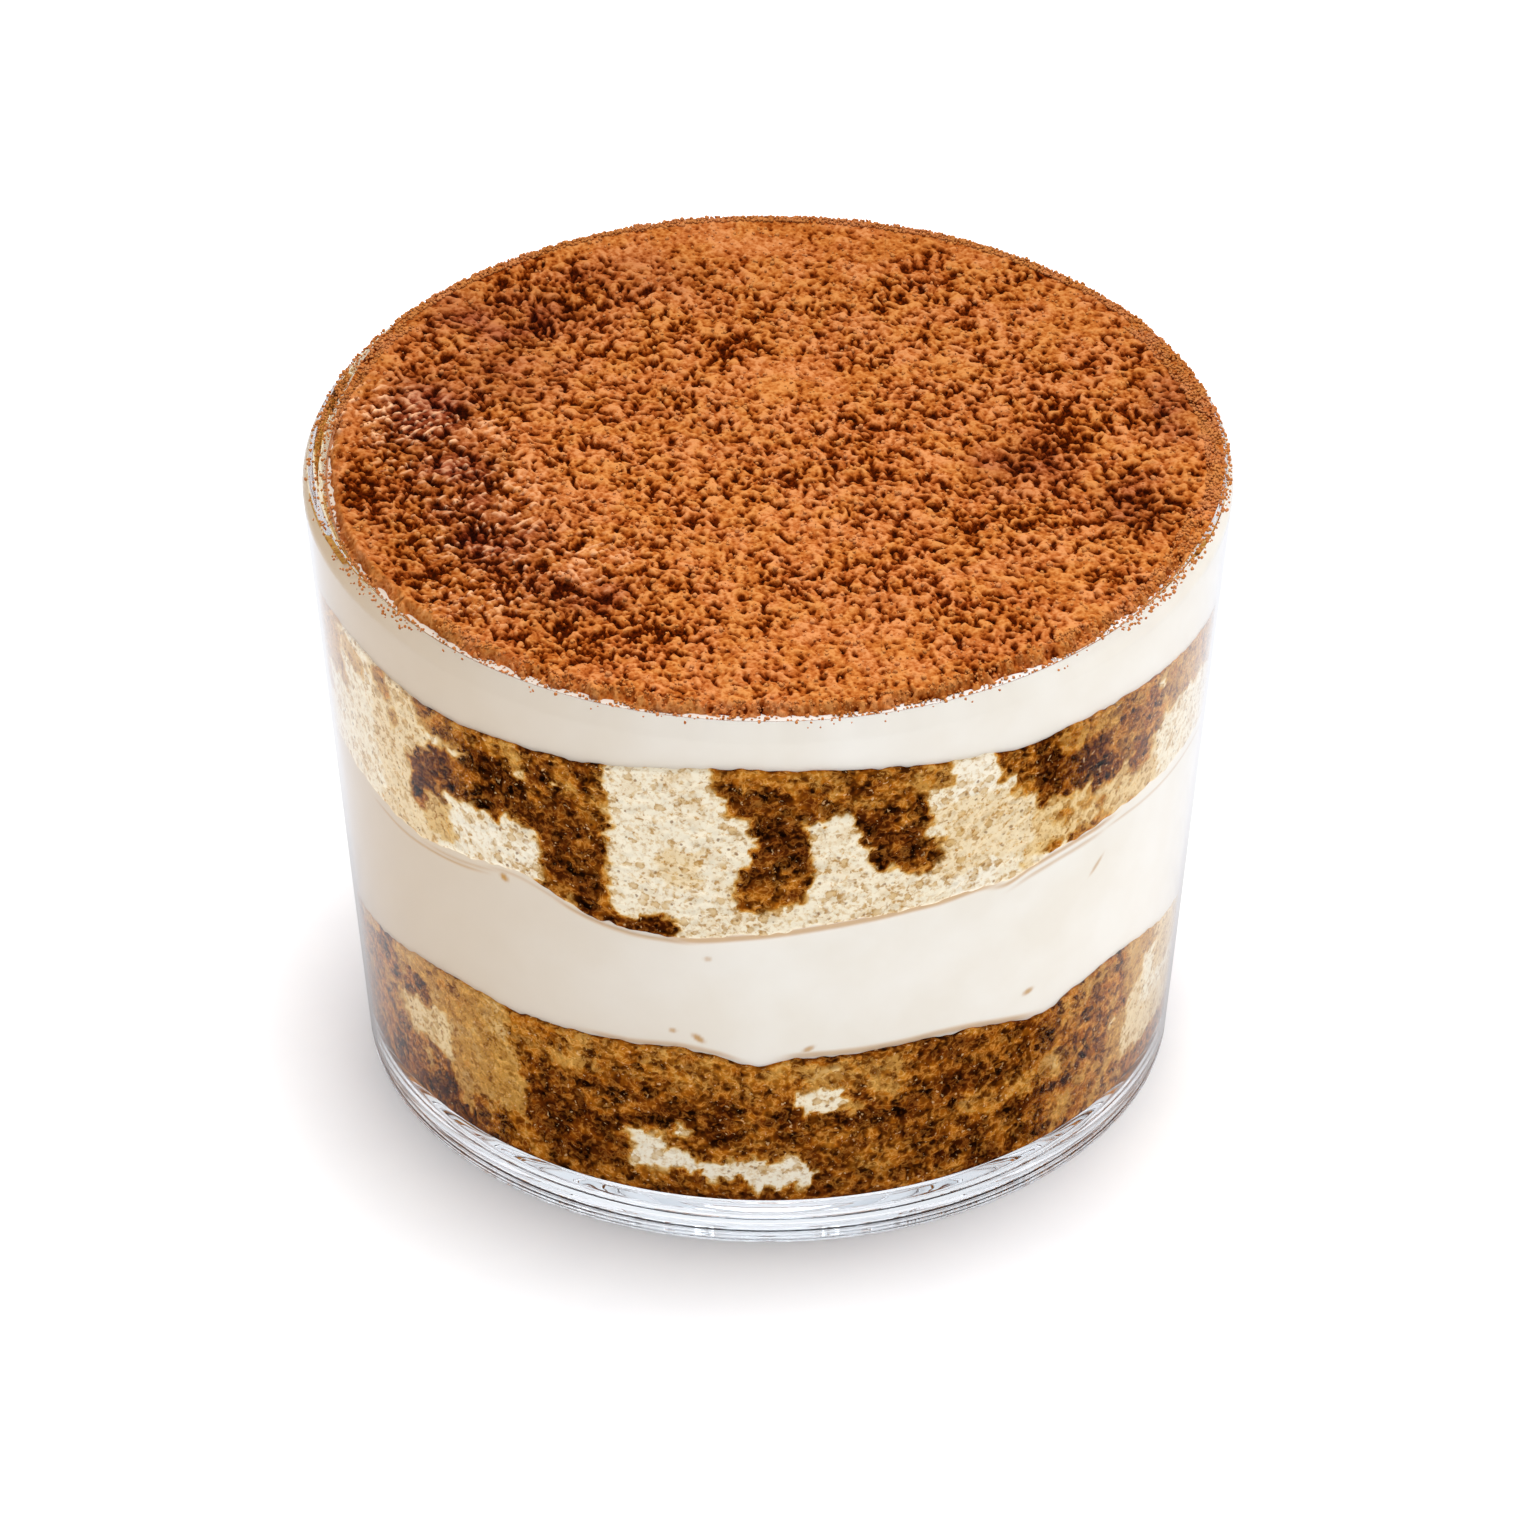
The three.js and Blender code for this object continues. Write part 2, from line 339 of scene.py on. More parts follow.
# %% [markdown]
# ## Where the layers meet
# A layer of sponge is cut by hand and pressed down, so its seams wander. Each seam is a level with a few
# swells and dips round the glass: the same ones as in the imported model, so the two agree, and on top of them
# small ones that only the eye sees.

# %% Seams round the glass
# Swells: middle and half-width in degrees from the front towards the right, and rise in millimetres.
LOWER_SPONGE_SWELLS = [
    (-16, 34, 1.7), (24, 14, 1.2), (42, 6, -0.8), (84, 18, -1.8), (-82, 18, -1.6), (150, 28, 1.1),
]
LOWER_CREAM_SWELLS = [(-14, 18, -2.3), (-34, 7, 1.4), (52, 24, 1.9), (130, 22, -1.2), (-140, 30, 0.9)]
UPPER_SPONGE_SWELLS = [(4, 30, 1.8), (-66, 12, 0.9), (84, 20, -2.0), (160, 34, 0.8)]
SMALL_LOWER_SWELLS = [(-2, 3.5, -1.0), (-13, 4, 0.4), (46, 2.5, 0.5), (56, 11, 1.6), (-50, 10, 1.0)]
SMALL_MIDDLE_SWELLS = [(-55, 9, -0.9), (80, 14, 0.8), (33, 3, -0.7)]
SMALL_UPPER_SWELLS = [(-8, 14, 0.9), (8, 10, 0.3), (-34, 6, 0.3), (34, 4, -0.4)]


def apart(degrees, middle):
    """Degrees from a middle, the short way round."""
    return (degrees - middle + 180.0) % 360.0 - 180.0


def on_turned_axes(x, y, angle):
    """How far (x, y) lies along a line at an angle, and how far across: x cos + y sin, and y cos - x sin."""
    return x * math.cos(angle) + y * math.sin(angle), y * math.cos(angle) - x * math.sin(angle)


def seam(degrees, level, swells):
    """Height of a seam: its level plus, for each swell, height x exp(-(angle away / half width)^2)."""
    height = np.full(np.shape(degrees), float(level))
    for middle, half_width, rise in swells:
        height = height + rise * np.exp(-((apart(degrees, middle) / half_width) ** 2))
    return height


def lower_sponge_top(degrees):
    """Height of the seam on top of the lower sponge."""
    return seam(degrees, LOWER_SPONGE_TOP, LOWER_SPONGE_SWELLS + SMALL_LOWER_SWELLS)


def upper_sponge_bottom(degrees):
    """Height of the seam under the upper sponge."""
    return seam(degrees, LOWER_CREAM_TOP, LOWER_CREAM_SWELLS + SMALL_MIDDLE_SWELLS)


def upper_sponge_top(degrees):
    """Height of the seam on top of the upper sponge."""
    return seam(degrees, UPPER_SPONGE_TOP, UPPER_SPONGE_SWELLS + SMALL_UPPER_SWELLS)


front = np.array([-60.0, -30.0, 0.0, 30.0, 60.0])
print("top of the lower sponge, left to right:", np.round(lower_sponge_top(front), 1))
print("bottom of the upper sponge:", np.round(upper_sponge_bottom(front), 1))
print("top of the upper sponge:", np.round(upper_sponge_top(front), 1))

# %% [markdown]
# ## Where the coffee went
# Coffee soaks in by patches: it runs down from where it was brushed on. Each patch is a box in angle and
# height with round corners and a ragged edge. Its value says how much coffee there is, from 0 (dry and
# white) through 0.3 (yellow) and 0.6 (golden brown) to 1 (dark). Later patches lie over earlier ones. The
# same rule, with drawn patches, finishes the back.

# %% Paint patches on a side
MM_PER_DEGREE = 0.68
PATCH_CORNER = 1.2
PATCH_EDGE = 0.22
BACK_STARTS = 88.0
# Lumps that make a patch's outline ragged: their height, their size and their step from the seed.
RAGGED_LUMPS = [(0.5, 5.0, 2), (0.8, 2.4, 0), (0.45, 1.1, 1)]


def degrees_of(x, y):
    """Angle of a place about the axis, in degrees from the front towards the right."""
    return np.degrees(np.arctan2(x, -y))


def painted(points, dry, patches, seed):
    """Coffee in the crumb: patch over patch, each with a ragged outline.

    The distance outside a patch is that of a box with round corners. Lumps are added to it, and the patch's
    value fades in over the edge's width.
    """
    degrees = degrees_of(points[:, 0], points[:, 1])
    ragged = sum(height * lumps(points, size, seed + step) for height, size, step in RAGGED_LUMPS)
    coffee = np.full(len(points), float(dry))
    for left, right, low, high, value in patches:
        across = (np.abs(apart(degrees, (left + right) / 2)) - (right - left) / 2) * MM_PER_DEGREE
        up = np.abs(points[:, 2] - (low + high) / 2) - (high - low) / 2
        outside = np.hypot(np.maximum(across + PATCH_CORNER, 0.0), np.maximum(up + PATCH_CORNER, 0.0))
        outside += np.minimum(np.maximum(across, up) + PATCH_CORNER, 0.0) - PATCH_CORNER
        share = smooth_step(-PATCH_EDGE, PATCH_EDGE, -outside - ragged)
        coffee += share * (value - coffee)
    return coffee


def drawn_patches(low, high, values, seed):
    """Patches for the back, at even steps of angle: their sides, heights and values are drawn with a seed.

    Each is a column with a lobe at its foot that leans to one side, as coffee does that runs down.
    """
    draw = np.random.default_rng(seed)
    patches = []
    for middle in np.arange(BACK_STARTS + 6.0, 360.0 - BACK_STARTS, 8.5):
        value = draw.choice(values)
        half = draw.uniform(2.5, 5.5)
        bottom = draw.uniform(low, low + 0.6 * (high - low))
        top = draw.uniform(max(bottom + 4.0, high - 4.0), high + 2.0)
        patches.append((middle - half, middle + half, bottom, top, value))
        lean = draw.uniform(-0.8, 0.8) * half
        lobe = draw.uniform(0.5, 0.8) * half
        patches.append((middle + lean - lobe, middle + lean + lobe, bottom - 1.8, bottom + 2.0, value))
        shoulder = draw.uniform(-1.2, 1.2) * half
        patches.append((middle + shoulder - half, middle + shoulder + half, top - 3.0, top, value - 0.05))
    return patches


# %% Where the patches lie
# A patch: first and last angle, lowest and highest height, and its coffee.
UPPER_DRY = 0.1
UPPER_PATCHES = [
    (-92, -60, 36, 55, 0.12), (-92, -84, 46.5, 54, 0.3), (-86, -76, 42, 48.5, 0.4),
    (-80, -69, 46, 54, 0.36), (-69, -62, 49.5, 52.5, 0.3), (-61, -48, 36, 54, 0.17),
    (-60, -56, 50.3, 52.2, 0.5), (-57, -54, 47.5, 49.5, 0.42), (-51, -30, 49.5, 55, 0.5),
    (-48, -44, 50.5, 52.5, 0.72), (-40, -35, 50.5, 54, 0.66), (-33, -28, 47, 55, 0.97),
    (-49, -20, 44, 49, 0.93), (-42, -32, 48, 50.2, 0.95), (-53, -46, 40.6, 47.5, 0.9),
    (-46, -36, 43.2, 46, 0.9), (-34.5, -31.5, 48.8, 50.2, 0.12), (-31, -20.5, 37, 50, 0.88),
    (-28, -20.5, 49, 55, 0.6), (-25, -21, 51, 54.5, 0.75), (-34, -29, 37.8, 40, 0.8),
    (-27, -12, 34, 37.4, 0.93), (-50, -45, 38, 42.5, 0.24), (-44.5, -31.5, 38, 43, 0.06),
    (-20.5, -7, 37.5, 56, 0.09), (-14, -9, 41, 46, 0.16), (-7, 21, 51.5, 56, 0.72),
    (-5.5, 9, 49.2, 53, 0.9), (-5, 0, 52.5, 54.5, 0.62), (6, 20.5, 49.4, 52.4, 0.66),
    (9, 14, 51, 53.5, 0.84), (18.5, 24.5, 50.6, 55, 0.45), (-2.5, 5.5, 41, 50, 0.92),
    (-3.6, 5, 38.8, 42.4, 0.86), (10.8, 21, 45, 50, 0.93), (12.5, 17, 42.8, 46, 0.88),
    (17, 23.8, 41.8, 45.5, 0.92), (24, 32, 37, 55, 0.05), (22, 36, 40, 49, 0.15),
    (36, 60, 39, 45.5, 0.2), (31, 36, 49.5, 56, 0.7), (33.5, 41, 47.6, 54, 0.8),
    (36.5, 52, 45, 50.5, 0.95), (40, 60, 50, 53, 0.5), (46, 58, 51, 52.6, 0.5),
    (46, 52, 43.6, 46, 0.92), (50, 62, 45, 50.5, 0.6), (54, 58.5, 42.8, 46, 0.78),
    (60, 70, 45.5, 53, 0.42), (69, 92, 45.5, 54, 0.42), (33, 37.5, 37.8, 39.4, 0.45),
    (38, 50, 38.6, 40.4, 0.6), (40.5, 43.5, 41.0, 43.6, 0.6), (44.5, 47, 42.0, 44.0, 0.5),
    (46, 50, 40.8, 42.6, 0.5), (53.5, 56, 37.6, 39.2, 0.5),
]
LOWER_DRY = 0.78
LOWER_PATCHES = [
    (-92, -60, 3, 23, 0.66), (-78, -69, 18, 22, 0.34), (-62, -38.4, 15, 24, 0.38),
    (-62, -36.5, 11, 16.5, 0.36), (-50, -33.5, 9, 14, 0.36), (-60, -50, 11, 16.5, 0.19),
    (-61, -54.5, 16, 18.4, 0.82), (-54, -44, 18.4, 22, 0.4), (-66, -36, 3, 8.8, 0.84),
    (-57, -54.5, 6.5, 11, 0.3), (-49, -46, 6, 9.5, 0.36), (-43, -41, 7, 9.5, 0.3),
    (-38, 4, 17, 24, 0.62), (-36, -20, 6.5, 13.5, 0.92), (-36, -30, 13, 18, 0.84),
    (-25, -18, 17.5, 19.5, 0.74), (-20, -4, 12.2, 15.4, 0.9), (-10, -2, 10.5, 14.2, 0.93),
    (-4, 10, 12, 16.5, 0.82), (10, 44, 9.8, 17.5, 0.88), (4.5, 20, 17, 20.6, 0.5),
    (14, 18, 16.6, 18.4, 0.42), (30, 34, 14, 17.5, 0.96), (-19.8, -14, 9.6, 12, 0.07),
    (-13.4, -10.4, 11.2, 13.6, 0.07), (-20.5, -3, 7.1, 9.9, 0.05), (-5, 6.0, 6.6, 9.6, 0.05),
    (-3, 1, 8.6, 10.4, 0.07), (4.4, 11, 14.8, 17.6, 0.1), (10, 13.5, 14.6, 16.2, 0.36),
    (21, 27.5, 5.4, 8, 0.99), (28, 41, 11, 14, 0.54), (41, 49, 11.4, 14.6, 0.5),
    (44, 61, 15, 22, 0.62), (44, 61, 4.5, 9.5, 0.58), (59, 72, 15, 22, 0.34),
    (56, 63, 8.5, 14.0, 0.36), (60, 92, 7.4, 15.5, 0.17), (64, 92, 12, 17.5, 0.1),
    # The last patch below darkens the foot of the sponge along the front: painted shade where it meets the
    # glass's floor.
    (68, 92, 14, 22, 0.2), (-80, 60, 2, 4.9, 1.0),
]
UPPER_DRAWN = [0.95, 0.92, 0.88, 0.6, 0.3, 0.1, 0.1]
LOWER_DRAWN = [0.95, 0.9, 0.7, 0.6, 0.5, 0.3]
UPPER_PATCHES += drawn_patches(38, 52, UPPER_DRAWN, 5)
LOWER_PATCHES += drawn_patches(7, 20, LOWER_DRAWN, 8)
print(len(UPPER_PATCHES), "patches above and", len(LOWER_PATCHES), "below")

# %% [markdown]
# ## The crumb of the sponge
# Sponge is a foam: cells of many sizes with thin walls between them. Pressed against the glass, the walls
# touch it and the cells are dents. Two sizes of cell are laid over each other, and a random share of them is
# left shut. The skin reaches a little into the glass everywhere, its deepest dents too, so no air shows.
# Coffee fills small beads of crumb or leaves them dry, so the painted patches are read at the middle of each
# bead and blended between them, which gives their edges round lobes.

# %% Relief of the crumb
BIG_CELL = 1.7
SMALL_CELL = 0.95
CELL_BEND = 0.35
CELL_BEND_SIZE = 1.4
REACH_DEEP = 0.08
REACH_HIGH = 0.85


def crumb(points, seed):
    """Depth of the crumb's dents from 0 to 1, and a random tone for each small cell.

    A cell's dent is flat-bottomed: it sinks from its wall over a third of the cell. Big cells count where
    their random number is high, small ones where it isn't low.
    """
    bent = shaken(points, CELL_BEND, CELL_BEND_SIZE, seed + 40)
    big_edge, big_owner = foam(bent, BIG_CELL, seed)
    edge, owner = foam(bent, SMALL_CELL, seed + 10)
    big = smooth_step(0.04, 0.42, big_edge) * smooth_step(0.45, 0.7, big_owner)
    small = smooth_step(0.05, 0.5, edge) * smooth_step(0.15, 0.6, owner)
    return np.clip(0.7 * big + 0.55 * small, 0.0, 1.0), owner


# %% Coffee in beads
BEAD = 0.62
BEAD_REACH = 0.42
BEAD_BEND = 0.4
BEAD_BEND_SIZE = 0.8


def beaded(points, dry, patches, seed):
    """Coffee that fills round beads of crumb.

    Each bead round a point has the coffee painted at its centre, weighs exp(-(distance / reach)^2), and the
    coffee is the weighted mean.
    """
    scaled = shaken(points, BEAD_BEND, BEAD_BEND_SIZE, seed + 50) / BEAD
    base = np.floor(scaled).astype(np.int64)
    total = np.zeros(len(points))
    weights = np.full(len(points), 1e-9)
    for step in NEIGHBOURS:
        cell, place = np.unique(base + step, axis=0, return_inverse=True)
        place = place.ravel()
        spot = cell_centres(cell, seed + 90)
        coffee = painted(spot * BEAD, dry, patches, seed + 60)
        away = np.linalg.norm(scaled - spot[place], axis=1)
        weight = np.exp(-((away / BEAD_REACH) ** 2))
        total += weight * coffee[place]
        weights += weight
    return total / weights


# %% Skin of the sponge
SPONGE_COLUMNS = 1200
EDGE_ROUND = 0.5
EDGE_SINK = 0.35
COARSE_CRUMBS = 1.9
FINE_CRUMBS = 0.8
DRY_DENT = 0.35
TONE_SPREAD = 0.22
BLOTCH_SPREAD = 0.2
BLOTCH_SIZE = 2.0
SEAM_SHADE = 0.3
MOST_COFFEE = 1.05
sponge_degrees = np.degrees(round_angles(SPONGE_COLUMNS))


def side_rows(bottom, top, rows):
    """Angles, radii and heights of rows on the inside of the glass, evenly shared between two seams."""
    heights = bottom + np.linspace(0.0, 1.0, rows)[:, None] * (top - bottom)
    angles = round_angles(heights.shape[1]) * np.ones((rows, 1))
    return angles, inner_radius(heights), heights


def ragged_seam(height, coarse, fine, seed):
    """A seam with crumbs in it: its height, plus coarse and fine times lumps of two sizes."""
    place = around(round_angles(len(height)), inner_radius(height), height)
    return height + coarse * lumps(place, COARSE_CRUMBS, seed) + fine * lumps(place, FINE_CRUMBS, seed + 1)


def sponge_values(points, edge, dry, patches, seed):
    """Dent and coffee of the crumb at points on the inside of the glass, by their distance to an edge.

    Soaked crumb has a darker edge, which is painted shade along the seam, a tone for each cell and soft
    blotches. Its dents are deeper than those of dry crumb, and all dents fade out at the edge.
    """
    shape = edge.shape
    points, edge = points.reshape(-1, 3), edge.ravel()
    dent, tone = crumb(points, seed)
    coffee = beaded(points, dry, patches, seed)
    mixed = smooth_step(0.25, 0.5, coffee)
    blotches = layered_lumps(points, BLOTCH_SIZE, seed + 70)
    coffee += mixed * (TONE_SPREAD * (tone - 0.5) + BLOTCH_SPREAD * blotches)
    # Painted shade along the seams: more coffee near an edge.
    coffee += SEAM_SHADE * mixed * smooth_step(0.5, 0.15, edge)
    coffee = np.clip(coffee, 0.0, MOST_COFFEE)
    dent = dent * (DRY_DENT + (1.0 - DRY_DENT) * mixed) * smooth_step(0.5, 1.3, edge)
    return dent.reshape(shape), {"dent": with_poles(dent), "coffee": with_poles(coffee)}


def skin_reach(dent):
    """How far the skin reaches into the glass: least in the deepest dents."""
    return REACH_HIGH - (REACH_HIGH - REACH_DEEP) * dent


def drawn_in(reach, edge):
    """The reach, let down to below the inside of the glass along a seam, which rounds the sponge's edge."""
    kept = smooth_step(0.0, EDGE_ROUND, edge)
    return kept * reach - (1.0 - kept) * EDGE_SINK


# %% Build the upper sponge
UPPER_SPONGE_ROWS = 80


def upper_sponge():
    """The skin of the upper sponge: a side that reaches into the glass, and a flat fan above and below."""
    bottom = ragged_seam(upper_sponge_bottom(sponge_degrees), 0.2, 0.22, 301)
    top = ragged_seam(upper_sponge_top(sponge_degrees), 0.12, 0.14, 303)
    angles, radii, heights = side_rows(bottom, top, UPPER_SPONGE_ROWS)
    edge = np.minimum(heights - bottom, top - heights)
    dent, values = sponge_values(around(angles, radii, heights), edge, UPPER_DRY, UPPER_PATCHES, 500)
    radii = radii + drawn_in(skin_reach(dent), edge)
    return turned_piece(
        "sponge_crumb_upper", angles, radii, heights, LOWER_CREAM_TOP, UPPER_SPONGE_TOP, values
    )


sponge_above = upper_sponge()

# %% Build the lower sponge
FILLET_ROWS = 12
WALL_ROWS = 68
FLOOR_GAP = 0.25
GAP_STARTS = math.radians(-62)
GAP_ENDS = math.radians(-30)
FLOOR_EDGE = 0.9


def lower_sponge():
    """The skin of the lower sponge: it follows the rounding above the glass's floor, then the side.

    Each row reaches out square to the glass. Where the rounding nears the floor the skin draws back, which
    leaves a film of air under the sponge: it keeps the thick floor bright, as in a real glass.
    """
    top = ragged_seam(lower_sponge_top(sponge_degrees), 0.22, 0.2, 311)
    _, wall_r, wall_z = side_rows(FILLET_HEIGHT, top, WALL_ROWS)
    turn = np.linspace(-QUARTER, -SIDE_ANGLE, FILLET_ROWS + 1)[:-1]
    fillet_r = FILLET_CENTRE + INNER_ROUND * np.cos(turn)
    fillet_z = FILLET_HEIGHT + INNER_ROUND * np.sin(turn)
    rings = np.ones((1, SPONGE_COLUMNS))
    radii = np.concatenate([fillet_r[:, None] * rings, wall_r])
    heights = np.concatenate([fillet_z[:, None] * rings, wall_z])
    angles = round_angles(SPONGE_COLUMNS) * np.ones((len(heights), 1))
    edge = np.minimum(top - heights, heights - FLOOR - FLOOR_EDGE)
    dent, values = sponge_values(around(angles, radii, heights), edge, LOWER_DRY, LOWER_PATCHES, 600)
    touching = np.concatenate([smooth_step(GAP_STARTS, GAP_ENDS, turn), np.ones(WALL_ROWS)])[:, None]
    reach = drawn_in(touching * skin_reach(dent) - (1.0 - touching) * FLOOR_GAP, top - heights)
    turn = np.concatenate([turn, np.full(WALL_ROWS, -SIDE_ANGLE)])[:, None]
    radii, heights = radii + reach * np.cos(turn), heights + reach * np.sin(turn)
    return turned_piece(
        "sponge_crumb_lower", angles, radii, heights, FLOOR + FLOOR_GAP, LOWER_SPONGE_TOP, values
    )


sponge_below = lower_sponge()

# %% [markdown]
# ## The cream
# Whipped mascarpone cream is smooth and wets the glass, so its side is the glass's own shape with barely a
# wave in it. Its skin runs on for a millimetre behind the edge of each sponge, so no gap opens at a seam.
# Coffee that ran out of the sponge leaves thin stained bands in it, and a few flecks of sponge stick in it.

# %% Stains in the cream
CREAM_REACH = 0.32
CREAM_OVERLAP = 1.0
CREAM_COLUMNS = 840
LOWER_CREAM_ROWS = 110
CREAM_WAVE = 7.0
CREAM_WAVE_HEIGHT = 0.05
STAIN_RISE = 0.08
BAND_BEND = 0.12
BAND_BEND_SIZE = 3.0
cream_degrees = np.degrees(round_angles(CREAM_COLUMNS))
# A stained band: first and last angle, how far below the seam it starts and ends, and its strength.
UNDER_BANDS = [
    (-64, -40, 0.9, 1.15, 0.75), (-52, -38, 0.4, 0.65, 0.5), (-40, -24, 0.1, 0.4, 0.4),
    (-30, -9, 0.05, 0.5, 0.6), (-14, 32, -0.4, 0.3, 0.7), (30, 52, 0.0, 0.45, 0.7),
    (34, 50, 0.9, 1.3, 0.5), (50, 80, 0.9, 1.15, 0.55), (96, 140, -0.3, 0.6, 0.6),
    (170, 250, 0.0, 0.5, 0.5),
]
OVER_BANDS = [
    (-26, -3, -0.2, 0.3, 0.5), (2, 40, -0.3, 0.35, 0.6), (100, 160, -0.2, 0.4, 0.5),
    (190, 230, -0.2, 0.5, 0.5),
]
# Flecks of sponge in the cream: angle, height, half-length along and across, slant in degrees, and strength.
FLECKS = [
    (-9.5, 23.4, 0.7, 0.35, -40, 0.9), (5.5, 22.4, 0.6, 0.3, 30, 0.8),
    (38, 23.3, 0.6, 0.35, 10, 0.8), (49, 34.2, 1.1, 0.25, 45, 0.6),
    (-13, 24.0, 0.35, 0.3, 0, 0.7), (-8, 32.8, 0.35, 0.3, 0, 0.5),
    (-37, 36.8, 0.5, 0.4, -50, 1.0), (128, 30, 0.6, 0.35, 25, 0.8),
    (200, 27, 0.7, 0.3, -30, 0.8), (262, 31, 0.5, 0.4, 60, 0.7),
]


def band_stain(degrees, away, bands):
    """Stain at an angle and a distance from the seam: each band fades over 6 degrees and over 0.3 mm."""
    stain = np.zeros(np.broadcast(degrees, away).shape)
    for left, right, near, far, strength in bands:
        inside = (right - left) / 2 - np.abs(apart(degrees, (left + right) / 2))
        across = smooth_step(-2.0, 4.0, inside)
        along = smooth_step(near - 0.15, near + 0.15, away) * smooth_step(-far - 0.2, -far + 0.25, -away)
        stain = np.maximum(stain, strength * across * along)
    return stain


def fleck_stain(degrees, heights):
    """Stain of the flecks: for each, its strength x exp(-(distance in half-lengths)^4), on slanted axes."""
    stain = np.zeros(np.broadcast(degrees, heights).shape)
    for angle, height, long, wide, slant, strength in FLECKS:
        right = apart(degrees, angle) * MM_PER_DEGREE
        along, across = on_turned_axes(right, heights - height, math.radians(slant))
        away = (along / long) ** 2 + (across / wide) ** 2
        stain = np.maximum(stain, strength * np.exp(-(away**2)))
    return stain


# %% Build the lower cream
def cream_wave(side, shape, seed):
    """Faint waves of the cream's skin, in millimetres: layered lumps of a height."""
    return (CREAM_WAVE_HEIGHT * layered_lumps(side, CREAM_WAVE, seed)).reshape(shape)


def lower_cream():
    """The skin of the cream between the two sponges."""
    bottom = lower_sponge_top(cream_degrees)
    top = upper_sponge_bottom(cream_degrees)
    angles, radii, heights = side_rows(bottom - CREAM_OVERLAP, top + CREAM_OVERLAP, LOWER_CREAM_ROWS)
    side = around(angles, radii, heights).reshape(-1, 3)
    bend = BAND_BEND * lumps(side, BAND_BEND_SIZE, 702).reshape(heights.shape)
    under = band_stain(cream_degrees[None, :], top - heights + bend, UNDER_BANDS)
    over = band_stain(cream_degrees[None, :], heights - bottom + bend, OVER_BANDS)
    stain = np.maximum(np.maximum(under, over), fleck_stain(cream_degrees[None, :], heights))
    radii = radii + CREAM_REACH + cream_wave(side, heights.shape, 701) + STAIN_RISE * stain
    low, high = LOWER_SPONGE_TOP - CREAM_OVERLAP, LOWER_CREAM_TOP + CREAM_OVERLAP
    values = {"stain": with_poles(stain, 0.0, 0.0)}
    return turned_piece("cream_smooth_lower", angles, radii, heights, low, high, values)


cream_below = lower_cream()

# %% The cream's upper face
CREAM_TOP_SHARES = [0.995, 0.985, 0.97, 0.95, 0.92, 0.88, 0.83, 0.77, 0.7, 0.6, 0.45, 0.3, 0.15]
CREAM_EDGE_REACH = 0.1
CREAM_EDGE_ROUND = 1.5
TOP_WAVE = 9.0
TOP_WAVE_HEIGHT = 0.12
UPPER_CREAM_ROWS = 30
# How far out the powder reaches, in millimetres from the axis, at angles from the front towards the right.
COCOA_EDGE_ANGLES = [
    -180, -150, -125, -110, -98, -85, -73, -62, -52, -30, 0, 30, 50, 65, 78, 92, 110, 140, 180,
]
COCOA_EDGE_RADII = [
    41.9, 41.8, 41.4, 40.4, 39.9, 39.9, 39.9, 39.8, 39.5, 39.1,
    38.9, 39.0, 39.4, 40.0, 40.8, 41.2, 41.5, 41.8, 41.9,
]
POWDER_SINK = 0.8


def on_level(x, y):
    """Places (x, y, 0) as rows, to read lumps at."""
    return np.stack([x, y, np.zeros_like(x)], axis=-1)


def cocoa_reach(degrees):
    """Radius where the powder ends, read off the table between its angles."""
    return np.interp(degrees, COCOA_EDGE_ANGLES, COCOA_EDGE_RADII)


def powder_sink(inside):
    """How deep the powder has sunk into the cream, by the distance inside its edge."""
    return POWDER_SINK * smooth_step(0.6, 2.0, inside)


def cream_surface(x, y):
    """Height of the cream's upper face: level, with long, low waves, and sunk under the powder's weight."""
    sink = powder_sink(cocoa_reach(degrees_of(x, y)) - np.hypot(x, y))
    wave = layered_lumps(on_level(x, y).reshape(-1, 3), TOP_WAVE, 711).reshape(np.shape(x))
    return UPPER_CREAM_TOP - sink + TOP_WAVE_HEIGHT * wave


# %% Build the upper cream
def upper_cream():
    """The skin of the cream under the cocoa: a side, a small rounding and a nearly level top."""
    bottom = upper_sponge_top(cream_degrees) - CREAM_OVERLAP
    out_x, out_y, _ = around(round_angles(CREAM_COLUMNS), 1.0, np.zeros(CREAM_COLUMNS)).T
    edge = cream_surface(inner_radius(UPPER_CREAM_TOP) * out_x, inner_radius(UPPER_CREAM_TOP) * out_y)
    angles, radii, heights = side_rows(bottom, edge, UPPER_CREAM_ROWS)
    rounded = smooth_step(UPPER_CREAM_TOP - CREAM_EDGE_ROUND, UPPER_CREAM_TOP, heights)
    reach = CREAM_REACH + (CREAM_EDGE_REACH - CREAM_REACH) * rounded
    wave = cream_wave(around(angles, radii, heights).reshape(-1, 3), heights.shape, 721)
    radii = radii + reach + wave * smooth_step(0.0, 2.0, edge - heights)
    top_r = radii[-1] * np.array(CREAM_TOP_SHARES)[:, None]
    radii = np.concatenate([radii, top_r])
    heights = np.concatenate([heights, cream_surface(top_r * out_x, top_r * out_y)])
    bare = np.concatenate([np.zeros(UPPER_CREAM_ROWS - 1), np.ones(len(top_r) + 1)])
    values = {
        "stain": with_poles(np.zeros(heights.size), 0.0, 0.0),
        "bare": with_poles(np.repeat(bare, CREAM_COLUMNS), 0.0, 1.0),
    }
    angles = round_angles(CREAM_COLUMNS) * np.ones((len(heights), 1))
    low, high = UPPER_SPONGE_TOP - CREAM_OVERLAP, UPPER_CREAM_TOP - POWDER_SINK
    return turned_piece("cream_smooth_upper", angles, radii, heights, low, high, values)


cream_above = upper_cream()

